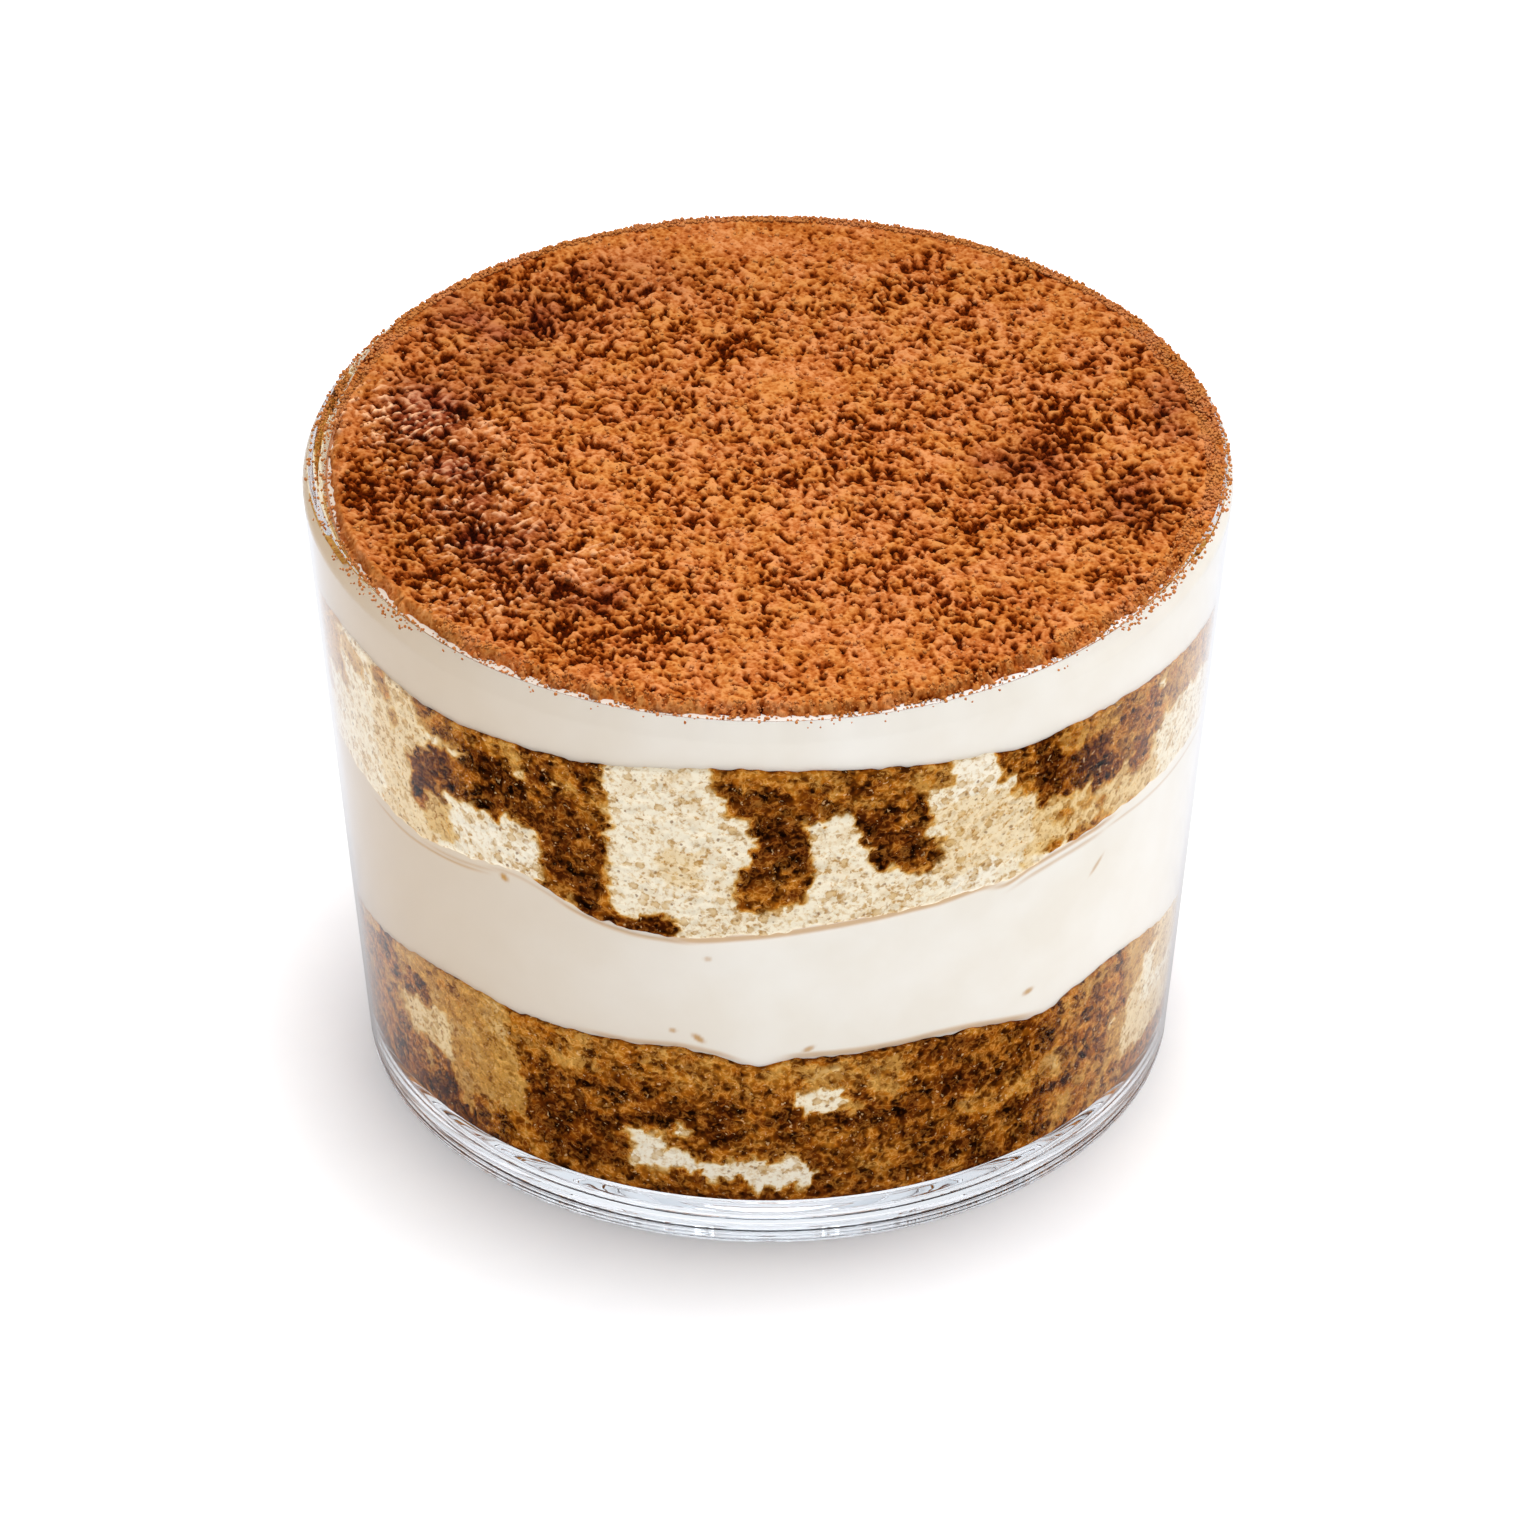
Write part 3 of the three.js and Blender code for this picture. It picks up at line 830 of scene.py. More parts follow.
# %% [markdown]
# ## The cocoa bed
# Sifted cocoa settles in clumps of fine powder with dark gaps between them. Where the cream is moist, the
# powder drinks it, sinks and turns dark; where it is dry, it stays light and loose. The bed is one height
# over the cup's top: low mounds, worm-like clumps of two sizes, and pits between them. It is thick in the
# middle and runs out at the edge: over the rim at the back, and short of it at the front.

# %% Ridge and ground of the cocoa
# A ridge of powder swept against the glass on the left: angles and radii of its crest.
RIDGE_ANGLES = [-130, -90, -73, -63, -52, -35]
RIDGE_RADII = [39.8, 39.2, 39.1, 38.8, 38.4, 38.0]


def ground(radius):
    """What the powder lies on: the cream up to the glass, then the rounded rim."""
    rise = np.sqrt(np.maximum(RIM_ROUND**2 - np.maximum(RIM_INNER - radius, 0.0) ** 2, 0.0))
    fall = np.sqrt(np.maximum(RIM_ROUND**2 - np.maximum(radius - RIM_OUTER, 0.0) ** 2, 0.0))
    rim = RIM_LEVEL + np.minimum(rise, fall)
    return np.where(radius < RIM_INNER - RIM_ROUND, UPPER_CREAM_TOP, rim)


# %% Mounds and moist places
# Mounds and hollows: middle (x, y), radius and height.
COCOA_MOUNDS = [
    (2, 4, 17, 0.35), (14, -22, 9, 0.3), (22, 16, 10, 0.25), (-29, -11, 8, -0.45),
    (-16, -25, 8, -0.35), (-19, 21, 9, -0.3), (28, 1, 7, -0.3),
]
# Moist places: middle (x, y), half-length along x and y, and how moist, from 0 to 1.
MOIST_PLACES = [
    (-31, 9, 4.5, 7, 0.9), (-28, -2, 4, 7, 1.0), (-24, -12, 5, 5, 0.95), (-17, -20, 6, 4, 0.6),
    (-24, 25, 8, 5, 0.7), (-24, 15, 6, 5, 0.6), (-13, 31, 7, 4, 0.5), (23, 0, 5, 5, 0.65),
    (37, 10, 3, 6, 0.6), (33, -6, 4, 5, 0.5),
]


def bell_sum(x, y, bells):
    """Sum of bells: each adds its height x exp(-(distance / radius)^2)."""
    total = np.zeros_like(x)
    for middle_x, middle_y, radius, height in bells:
        total += height * np.exp(-((x - middle_x) ** 2 + (y - middle_y) ** 2) / radius**2)
    return total


# %% Clumps and strokes
STREAK_ANGLE = math.radians(-62)
STREAK_STRETCH = 1.3
GRID_TURN = math.radians(37)
COARSE_CLUMP = 0.46
FINE_CLUMP = 0.27
# Strokes that the sieve left where the powder is moist: middle (x, y), reach along x and y, and strength.
STROKES = [
    (-36, 8, 5.5, 5.0, 1.0), (-30, 4, 6.0, 7.0, 0.8), (-26, -8, 6.0, 8.0, 0.8),
    (-19, -16, 8.0, 5.0, 0.6), (-26, -21, 5.0, 4.0, 0.8),
]
STROKE_ANGLE = math.radians(38)
STROKE_STEP = 1.2
# Places where the powder lies loose and smooth: middle (x, y), reach along x and y, and how smooth.
LOOSE_PLACES = [
    (4, 14, 7, 5, 0.55), (17, 2, 6, 4, 0.3), (3, -14, 9, 5, 0.25), (8, -31, 16, 6, 0.55),
    (-14, -34, 12, 4, 0.5), (25, -22, 9, 6, 0.35), (2, 40, 40, 9, 0.8), (30, 27, 9, 8, 0.5),
]
# Places where dark pits open between the clumps: middle (x, y), reach along x and y, and how open.
OPEN_PLACES = [
    (-36, -3, 5, 9, 1.0), (-31, -13, 6, 7, 0.9), (-25, -20, 7, 4, 0.8), (-14, -26, 8, 4, 0.7),
    (-20, 31, 7, 4, 0.6), (-33, 19, 5, 6, 0.7), (-3, 19, 4, 2.5, 0.5), (0, -1, 7, 2.5, 0.45),
    (14, -5, 5, 3, 0.5), (26, 5, 4, 8, 0.8), (20, -9, 6, 3.5, 0.6), (33, -9, 5, 5, 0.4),
]


def ellipse_peak(x, y, places):
    """The largest of many soft ellipses: each is its amount x exp(-(distance in half-lengths)^3)."""
    total = np.zeros_like(x)
    for middle_x, middle_y, wide, deep, amount in places:
        away = ((x - middle_x) / wide) ** 2 + ((y - middle_y) / deep) ** 2
        total = np.maximum(total, amount * np.exp(-(away**1.5)))
    return total


def worms(x, y, size, seed):
    """Worm-like clumps, mostly from -1 to 1: lumps on a square grid plus lumps on a turned one."""
    straight = lumps(on_level(x, y), size, seed)
    return 0.75 * (straight + lumps(on_level(*on_turned_axes(x, y, -GRID_TURN)), size, seed + 1))


def moisture(x, y):
    """How moist the powder is at (x, y), from 0 to 1: soft ellipses, broken up by lumps."""
    broken = 1.0 + 0.55 * layered_lumps(on_level(x, y), 3.5, 801)
    return np.clip(ellipse_peak(x, y, MOIST_PLACES) * broken, 0.0, 1.0)


def powder_clumps(x, y, moist):
    """Clumps from about 1 on a crest to -1 in a pit, and how smooth the powder lies.

    The clumps run one way, as the sieve was moved: places are turned by the streaks' angle and squeezed
    along it. They are flatter where the powder lies loose, and pits open where it is moist.
    """
    place = on_level(x, y)
    bent_x, bent_y = x + 0.3 * lumps(place, 1.1, 811), y + 0.3 * lumps(place, 1.1, 812)
    along, across = on_turned_axes(bent_x, bent_y, STREAK_ANGLE)
    along = along / STREAK_STRETCH
    edge = smooth_step(5.0, 0.5, cocoa_reach(degrees_of(x, y)) - np.hypot(x, y))
    loose = np.maximum(ellipse_peak(x, y, LOOSE_PLACES), 0.55 * edge) * (1.0 - 0.6 * moist)
    patchy = 0.2 * layered_lumps(place, 4.5, 841, 2)
    clumps = worms(along, across, COARSE_CLUMP, 821) + 0.65 * worms(along, across, FINE_CLUMP, 831)
    clumps = (1.0 - 0.6 * loose) * clumps + 0.22 * loose + patchy - 0.12 * moist
    clumps -= 0.4 * ellipse_peak(x, y, OPEN_PLACES) * (1.0 + lumps(place, 2.4, 843))
    return clumps, loose


def strokes(x, y):
    """Pale strokes from 0 to 1: stripes a step apart, bent and broken by lumps, within their places."""
    place = on_level(x, y)
    across = on_turned_axes(x, y, STROKE_ANGLE)[1] + 0.7 * lumps(place, 3.0, 871)
    wave = np.sin(2.0 * math.pi * across / STROKE_STEP)
    broken = smooth_step(-0.25, 0.35, lumps(place, 1.3, 873) + 0.4 * lumps(place, 0.6, 874))
    return ellipse_peak(x, y, STROKES) * smooth_step(0.5, 0.98, wave) * broken


# %% Height of the bed
WAVE_HEIGHT = 0.14
CLUMP_HEIGHT = 0.15
PIT_DEPTH = 0.32
MOIST_SINK = 0.15
RIDGE_HEIGHT = 0.3
RIDGE_HALF = 0.55
STROKE_HEIGHT = 0.1
# How far below the cream, and above the rim, the powder's edge runs out.
EDGE_BELOW_CREAM = 0.35
EDGE_ABOVE_RIM = 0.06


def cocoa_bed(x, y):
    """Height of the bed over (x, y), and from 0 to 1 its gaps' depth, moisture, tone and pale strokes.

    The pale value is partly powder that the sieve left pale, partly painted highlight on crests of clumps.
    """
    place = on_level(x, y)
    moist = moisture(x, y)
    clumps, loose = powder_clumps(x, y, moist)
    pale = strokes(x, y) * smooth_step(-0.3, 0.3, clumps)
    radius = np.hypot(x, y)
    degrees = degrees_of(x, y)
    crest = smooth_step(30.0, 42.0, -degrees) * smooth_step(-135.0, -112.0, degrees)
    crest *= np.exp(-(((radius - np.interp(degrees, RIDGE_ANGLES, RIDGE_RADII)) / RIDGE_HALF) ** 2))
    # Painted highlight: pale colour on the crests of the clumps where the strokes lie.
    highlight_tips = ellipse_peak(x, y, STROKES) * smooth_step(0.5, 1.1, clumps)
    pale = np.maximum(pale, 0.65 * highlight_tips * (1.0 - crest))
    clumps = clumps * (1.0 - 0.7 * crest) + 0.35 * crest + 0.3 * pale
    pit = smooth_step(-0.15, -0.8, clumps)
    height = COCOA_TOP + bell_sum(x, y, COCOA_MOUNDS) + WAVE_HEIGHT * layered_lumps(place, 5.0, 851)
    height += (
        CLUMP_HEIGHT * np.clip(clumps, -1.0, 1.2)
        - PIT_DEPTH * pit
        - MOIST_SINK * moist
        + RIDGE_HEIGHT * crest
        + STROKE_HEIGHT * pale
    )
    inside = cocoa_reach(degrees) - radius
    sunk = -EDGE_BELOW_CREAM - powder_sink(inside)
    below = ground(radius) + np.where(radius < RIM_INNER - RIM_ROUND, sunk, EDGE_ABOVE_RIM)
    ragged = 0.45 * lumps(place, 1.7, 861) + 0.3 * lumps(place, 0.7, 862)
    inside += ragged + 0.35 * np.clip(clumps, -1.0, 1.0)
    fade = smooth_step(-0.1, 1.3, inside)
    height = below + fade * np.maximum(height - below, 0.0)
    gap = np.clip(0.36 - 0.36 * clumps + 0.35 * pit, 0.0, 1.0)
    moist = moist * (1.0 - 0.7 * crest)
    return height, {"gap": gap, "moist": moist, "tone": 0.5 + 0.5 * loose, "pale": pale}


# %% A round grid and a closed patch of it
BED_DEPTH = 1.0
UNDER_RADIUS = 38.8
UNDER_ABOVE_RIM = 0.02
LEAST_THICKNESS = 0.01
LOWER_STEP = 0.05


def disc_grid(side):
    """A square grid of points pushed onto a disc of radius 1.

    A point (u, v) of the square goes to the radius max(|u|, |v|), at an angle in proportion along the side
    of the square that it is on, so the mesh stays even from the middle to the edge.
    """
    u, v = np.meshgrid(np.linspace(-1.0, 1.0, side + 1), np.linspace(-1.0, 1.0, side + 1), indexing="ij")
    wide = np.abs(u) > np.abs(v)
    radius = np.where(wide, u, v)
    safe = np.where(radius == 0.0, 1.0, radius)
    turn = np.where(wide, (math.pi / 4) * v / safe, QUARTER - (math.pi / 4) * u / safe)
    return radius * np.cos(turn), radius * np.sin(turn)


def closed_patch(name, x, y, height, values):
    """A patch of the bed on its own square of the grid, closed by walls and a flat underside.

    The walls go down in two steps, the second drawn in, so that the underside stays inside the cream.
    """
    rows, columns = x.shape
    index = np.arange(rows * columns).reshape(rows, columns)
    quads = np.stack([index[:-1, :-1], index[1:, :-1], index[1:, 1:], index[:-1, 1:]], axis=-1).reshape(-1, 4)
    loop = np.concatenate([index[:-1, 0], index[-1, :-1], index[:0:-1, -1], index[0, :0:-1]])
    x, y, height = x.ravel(), y.ravel(), height.ravel()
    under = len(x) + np.arange(len(loop))
    centre = len(x) + 2 * len(loop)
    deep = UPPER_CREAM_TOP - BED_DEPTH
    radius = np.hypot(x[loop], y[loop])
    under_z = np.where(radius < RIM_INNER - RIM_ROUND, deep, ground(radius) + UNDER_ABOVE_RIM)
    inwards = np.minimum(1.0, UNDER_RADIUS / np.maximum(radius, 1.0))
    under_z = np.minimum(under_z, height[loop] - LEAST_THICKNESS)
    lower = under + len(loop)
    lower_z = deep - LOWER_STEP
    walls = np.stack([loop, under, np.roll(under, -1), np.roll(loop, -1)], axis=-1)
    steps = np.stack([under, lower, np.roll(lower, -1), np.roll(under, -1)], axis=-1)
    fan = np.stack([np.full(len(loop), centre), np.roll(lower, -1), lower], axis=-1)
    points = np.concatenate(
        [
            np.stack([x, y, height], axis=1),
            np.stack([x[loop], y[loop], under_z], axis=1),
            np.stack([x[loop] * inwards, y[loop] * inwards, np.full(len(loop), lower_z)], axis=1),
            [(x[loop].mean(), y[loop].mean(), lower_z)],
        ]
    )
    corners = np.concatenate([quads.ravel(), walls.ravel(), steps.ravel(), fan.ravel()])
    counts = np.concatenate([np.full(len(quads) + 2 * len(loop), 4), np.full(len(loop), 3)])
    rest = len(points) - len(x)
    values = {key: np.concatenate([value.ravel(), np.full(rest, 0.5)]) for key, value in values.items()}
    return make_piece(name, points, corners, counts, values)


# %% Build the bed
BED_SIDE = 672
BED_PARTS = 3


def build_bed():
    """The disc grid stretched to where the powder ends, in nine patches that share their edges."""
    x, y = disc_grid(BED_SIDE)
    stretch = cocoa_reach(degrees_of(x, y))
    x, y = x * stretch, y * stretch
    height, powder = cocoa_bed(x.ravel(), y.ravel())
    height = height.reshape(x.shape)
    step = BED_SIDE // BED_PARTS
    patches = []
    for i, j in itertools.product(range(BED_PARTS), repeat=2):
        part = (slice(i * step, (i + 1) * step + 1), slice(j * step, (j + 1) * step + 1))
        values = {key: value.reshape(x.shape)[part] for key, value in powder.items()}
        patches.append(closed_patch(f"cocoa_bed_{i}{j}", x[part], y[part], height[part], values))
    return patches


bed_patches = build_bed()

# %% [markdown]
# ## Loose crumbs
# On top of the bed lie loose clumps and grains, and dust has fallen on the bare cream and on the rim. A grain
# is a solid with twenty faces, squeezed and turned at random: at less than a millimetre nobody sees more. All
# grains of one kind are joined in one mesh, worked out in one go.

# %% A grain with twenty faces
def twenty_faces():
    """Corners and faces of the regular solid with twenty faces, of radius 1."""
    golden = (1.0 + math.sqrt(5.0)) / 2.0
    points = []
    for a in (-1.0, 1.0):
        for b in (-golden, golden):
            points += [(0.0, a, b), (a, b, 0.0), (b, 0.0, a)]
    points = np.array(points) / math.hypot(1.0, golden)
    faces = []
    for i, j, k in itertools.combinations(range(len(points)), 3):
        sides = [points[i] - points[j], points[j] - points[k], points[k] - points[i]]
        if max(np.linalg.norm(side) for side in sides) < 1.1:
            outwards = np.dot(np.cross(points[j] - points[i], points[k] - points[i]), points[i])
            faces.append((i, j, k) if outwards > 0 else (i, k, j))
    return points, np.array(faces)


GRAIN_POINTS, GRAIN_FACES = twenty_faces()
print("a grain has", len(GRAIN_POINTS), "corners and", len(GRAIN_FACES), "faces")


SQUEEZES = (0.65, 1.15)
KNOCKS = (0.8, 1.2)


def random_turns(count, draw):
    """Random rotations: unit quaternions drawn evenly, written out as matrices."""
    q = draw.normal(size=(count, 4))
    w, x, y, z = (q / np.linalg.norm(q, axis=1, keepdims=True)).T
    rows = [
        [1 - 2 * (y * y + z * z), 2 * (x * y - z * w), 2 * (x * z + y * w)],
        [2 * (x * y + z * w), 1 - 2 * (x * x + z * z), 2 * (y * z - x * w)],
        [2 * (x * z - y * w), 2 * (y * z + x * w), 1 - 2 * (x * x + y * y)],
    ]
    return np.array(rows).transpose(2, 0, 1)


def scatter(name, places, radii, draw, values):
    """One mesh of many grains.

    Each is the twenty-faced solid, squeezed by up to a third along each axis, with its corners pushed in or
    out by a fifth, turned, sized and put in its place.
    """
    count = len(places)
    squeeze = draw.uniform(*SQUEEZES, size=(count, 1, 3))
    knocks = draw.uniform(*KNOCKS, size=(count, len(GRAIN_POINTS), 1))
    shapes = GRAIN_POINTS[None] * squeeze * knocks
    turned = np.einsum("nij,npj->npi", random_turns(count, draw), shapes)
    points = (turned * radii[:, None, None] + places[:, None, :]).reshape(-1, 3)
    faces = GRAIN_FACES[None] + (np.arange(count) * len(GRAIN_POINTS))[:, None, None]
    values = {key: np.repeat(value, len(GRAIN_POINTS)) for key, value in values.items()}
    return make_piece(name, points, faces.ravel(), np.full(count * len(GRAIN_FACES), 3), values)


# %% Scatter the crumbs on the bed
# Loose powder: name, number of grains, smallest and largest radius, share of the radius sunk, and seed.
LOOSE_POWDER = [
    ("cocoa_clumps", 1500, 0.18, 0.32, 0.7, 901),
    ("cocoa_crumbs", 4500, 0.09, 0.18, 0.65, 902),
    ("cocoa_grains", 2500, 0.06, 0.1, 0.6, 903),
]
CLEAR_OF_EDGE = 0.25
LEAST_POWDER = 0.15


def crumbs_on_bed(name, count, small, large, sunk, seed):
    """Grains at random places on the bed, inside the powder's edge, sunk by a share of their radius."""
    draw = np.random.default_rng(seed)
    angles = draw.uniform(-math.pi, math.pi, count)
    reach = cocoa_reach(np.degrees(angles)) - large - CLEAR_OF_EDGE
    spread = reach * np.sqrt(draw.uniform(0.0, 1.0, count))
    x, y = spread * np.sin(angles), -spread * np.cos(angles)
    radii = small + (large - small) * draw.uniform(0.0, 1.0, count) ** 2
    height, powder = cocoa_bed(x, y)
    swallowed = 0.7 * powder["moist"] + 1.2 * powder["gap"]
    kept = (height > UPPER_CREAM_TOP + LEAST_POWDER) & (draw.uniform(0.0, 1.0, count) > swallowed)
    places = np.stack([x, y, height + radii * (1.0 - sunk)], axis=1)[kept]
    values = {"gap": 0.15 * powder["gap"][kept], "moist": 0.6 * powder["moist"][kept]}
    values["tone"] = draw.uniform(0.0, 1.0, kept.sum())
    return scatter(name, places, radii[kept], draw, values)


loose_powder = [crumbs_on_bed(*kind) for kind in LOOSE_POWDER]

# %% Dust the rim
# Rim dust: angle range from the front towards the right, inner and outer radius, and number of grains.
DUST_STRETCHES = [
    (-50, 50, 37.6, 40.0, 900), (-50, 50, 40.0, 41.6, 70), (50, 80, 38.4, 41.5, 650),
    (80, 125, 39.6, 41.8, 1500), (125, 235, 40.6, 41.9, 2600), (235, 262, 39.4, 41.7, 700),
    (262, 310, 39.5, 41.7, 330),
]
DUST_RADII = (0.07, 0.2)


def rim_dust():
    """Fine grains on the bare cream and on the rim, most of them close to the powder's edge."""
    draw = np.random.default_rng(911)
    places, radii = [], []
    for left, right, near, far, count in DUST_STRETCHES:
        angles = np.radians(draw.uniform(left, right, count))
        spread = near + (far - near) * draw.uniform(0.0, 1.0, count) ** 1.4
        size = draw.uniform(*DUST_RADII, count)
        x, y = spread * np.sin(angles), -spread * np.cos(angles)
        powder = np.where(spread < cocoa_reach(np.degrees(angles)), cocoa_bed(x, y)[0], 0.0)
        lies_on = np.maximum(powder, ground(spread))
        places.append(np.stack([x, y, lies_on + 0.55 * size], axis=1))
        radii.append(size)
    places, radii = np.concatenate(places), np.concatenate(radii)
    values = {"gap": np.full(len(radii), 0.1), "moist": np.full(len(radii), 0.15)}
    values["tone"] = draw.uniform(0.0, 1.0, len(radii))
    return scatter("cocoa_rim_dust", places, radii, draw, values)


loose_powder.append(rim_dust())

# %% [markdown]
# ## Finishes
# Each finish is a small graph of nodes on the piece's own attributes and on Object coordinates. First a few
# helpers that add a node and join it up, so that each finish below reads as a recipe.

# %% Helpers for node graphs
def srgb(red, green, blue):
    """A colour given as seen on a screen, from 0 to 255, turned into the renderer's linear values."""
    shares = np.array([red, green, blue]) / 255.0
    linear = np.where(shares <= 0.04045, shares / 12.92, ((shares + 0.055) / 1.055) ** 2.4)
    return (*linear.tolist(), 1.0)


class Finish:
    """A graph of nodes under construction, for a material or for the room round the cup.

    Each helper adds nodes of one kind and gives what comes out of them. Sizes are in millimetres.
    """

    def __init__(self, block, output="ShaderNodeOutputMaterial"):
        block.use_nodes = True
        self.block = block
        self.tree = block.node_tree
        self.tree.nodes.clear()
        self.output = self.tree.nodes.new(output)

    def add(self, kind, inputs=None, out=0, **settings):
        """One of the outputs of a new node. Inputs given as outputs of other nodes are joined to them."""
        node = self.tree.nodes.new(kind)
        for key, value in settings.items():
            setattr(node, key, value)
        for key, value in (inputs or {}).items():
            if isinstance(value, bpy.types.NodeSocket):
                self.tree.links.new(value, node.inputs[key])
            else:
                node.inputs[key].default_value = value
        return node.outputs[out]

    def value_of(self, attribute):
        """The value that the mesh holds under a name."""
        return self.add("ShaderNodeAttribute", out="Fac", attribute_name=attribute)

    def place(self):
        """The place on the piece, in metres."""
        return self.add("ShaderNodeTexCoord", out="Object")

    def math(self, operation, first, *others, clamp=False):
        """The first number joined with each of the others in turn; clamp keeps the result from 0 to 1."""
        for count, other in enumerate(others, 1):
            last = clamp and count == len(others)
            first = self.add("ShaderNodeMath", {0: first, 1: other}, operation=operation, use_clamp=last)
        return first

    def times(self, *factors):
        """The product of some numbers."""
        return self.math("MULTIPLY", *factors)

    def plus(self, *terms, clamp=False):
        """The sum of some numbers."""
        return self.math("ADD", *terms, clamp=clamp)

    def span(self, value, low, high, to_low=0.0, to_high=1.0):
        """The value carried over from low..high to to_low..to_high, and held at the ends."""
        return self.add("ShaderNodeMapRange", {0: value, 1: low, 2: high, 3: to_low, 4: to_high})

    def mix(self, share, first, second, blend="MIX"):
        """The first colour with a share of the second laid over it."""
        inputs = {0: share, 6: first, 7: second}
        return self.add("ShaderNodeMix", inputs, 2, data_type="RGBA", blend_type=blend)

    def ramp(self, value, stops):
        """A colour for a value, blended between stops: a place from 0 to 1, then red, green and blue."""
        colour = self.add("ShaderNodeValToRGB", {0: value})
        elements = colour.node.color_ramp.elements
        while len(elements) < len(stops):
            elements.new(0.5)
        for element, (place, *shares) in zip(elements, stops):
            element.position = place
            element.color = srgb(*shares)
        return colour

    def noise(self, size, detail, rough, place=None):
        """Noise whose lumps are about a size wide."""
        inputs = {"Vector": place or self.place(), "Scale": 1.0 / (size * MM)}
        inputs.update({"Detail": detail, "Roughness": rough})
        return self.add("ShaderNodeTexNoise", inputs)

    def cells(self, size, place=None):
        """Cells about a size wide: the distance from their centre, in cells, and each one's own number."""
        inputs = {"Vector": place or self.place(), "Scale": 1.0 / (size * MM)}
        centre = self.add("ShaderNodeTexVoronoi", inputs, "Distance")
        return centre, self.add("ShaderNodeSeparateColor", {0: centre.node.outputs["Color"]})

    def bump(self, height, distance, strength):
        """The way the surface faces, tilted as if a height of 1 stood out by the distance."""
        return self.add("ShaderNodeBump", {"Height": height, "Distance": distance * MM, "Strength": strength})

    def matt(self, colour, roughness, gloss, bump=None):
        """Ends the graph in an opaque surface and gives the material."""
        inputs = {"Base Color": colour, "Roughness": roughness, "Specular IOR Level": gloss}
        if bump is not None:
            inputs["Normal"] = bump
        return self.close(self.add("ShaderNodeBsdfPrincipled", inputs))

    def close(self, shader):
        """Joins the last shader to the output and gives the material or room."""
        self.tree.links.new(shader, self.output.inputs["Surface"])
        return self.block


# %% Clear glass
GLASS_TINT = (0.985, 0.99, 0.995, 1.0)
MIRROR_TINT = (0.6, 0.6, 0.61, 1.0)
LIGHT_TINT = (0.98, 0.985, 0.985, 1.0)
GLASS_BENDING = 1.5


def clear_glass():
    """Glass that bends and mirrors for the eye, and is clear to the rays that carry light to the food.

    From outside, the mirror image is weakened except where the glass is seen at a slant, as a filter on a
    lens does. From inside, the mirror image is kept whole, as it carries the light round in the thick floor.
    """
    finish = Finish(bpy.data.materials.new("clear_glass"))
    smooth = {"Color": GLASS_TINT, "Roughness": 0.0, "IOR": GLASS_BENDING}
    bent = finish.add("ShaderNodeBsdfRefraction", smooth)
    mirror = finish.add("ShaderNodeBsdfAnisotropic", {"Color": MIRROR_TINT, "Roughness": 0.0})
    slant = finish.span(finish.add("ShaderNodeFresnel", {"IOR": GLASS_BENDING}), 0.07, 0.6)
    outside = finish.add("ShaderNodeMixShader", {0: slant, 1: bent, 2: mirror})
    inside = finish.add("ShaderNodeBsdfGlass", smooth)
    facing = finish.add("ShaderNodeNewGeometry", out="Backfacing")
    body = finish.add("ShaderNodeMixShader", {0: facing, 1: outside, 2: inside})
    clear = finish.add("ShaderNodeBsdfTransparent", {"Color": LIGHT_TINT})
    path = finish.add("ShaderNodeLightPath").node.outputs
    light = finish.math("MAXIMUM", path["Is Shadow Ray"], path["Is Diffuse Ray"])
    return finish.close(finish.add("ShaderNodeMixShader", {0: light, 1: body, 2: clear}))


glass.data.materials.append(clear_glass())

# %% [markdown]
# ### Sponge
# Dry crumb is pale yellow with tan pores in it, darker inside by painted shade. Coffee turns it golden, then
# brown, and at last nearly black in the cells, where painted shade darkens it further, while the thin walls
# stay golden because light shines through them. So the soaked crumb has two colour ramps over the amount of
# coffee, one for the walls and one for the hollows, and light threads on top, with painted glints. Pores,
# threads and hollows are drawn by the finish where they are too small for the mesh.

# %% Dry crumb
# Colours by the amount of coffee: the amount, then red, green and blue. The shade colour is a darker tone
# for clouds and mottling, and painted shade inside the pores.
DRY_BASE = [(0.0, 252, 243, 226), (0.1, 250, 237, 210), (0.22, 235, 200, 138), (0.36, 200, 146, 70)]
DRY_SHADE = [(0.0, 226, 200, 158), (0.15, 216, 176, 112), (0.36, 172, 116, 50)]
DRY_GOLDEN = [(0.0, 192, 150, 92), (0.15, 176, 126, 58), (0.36, 140, 86, 28)]
DRY_DOT = (136, 92, 44)


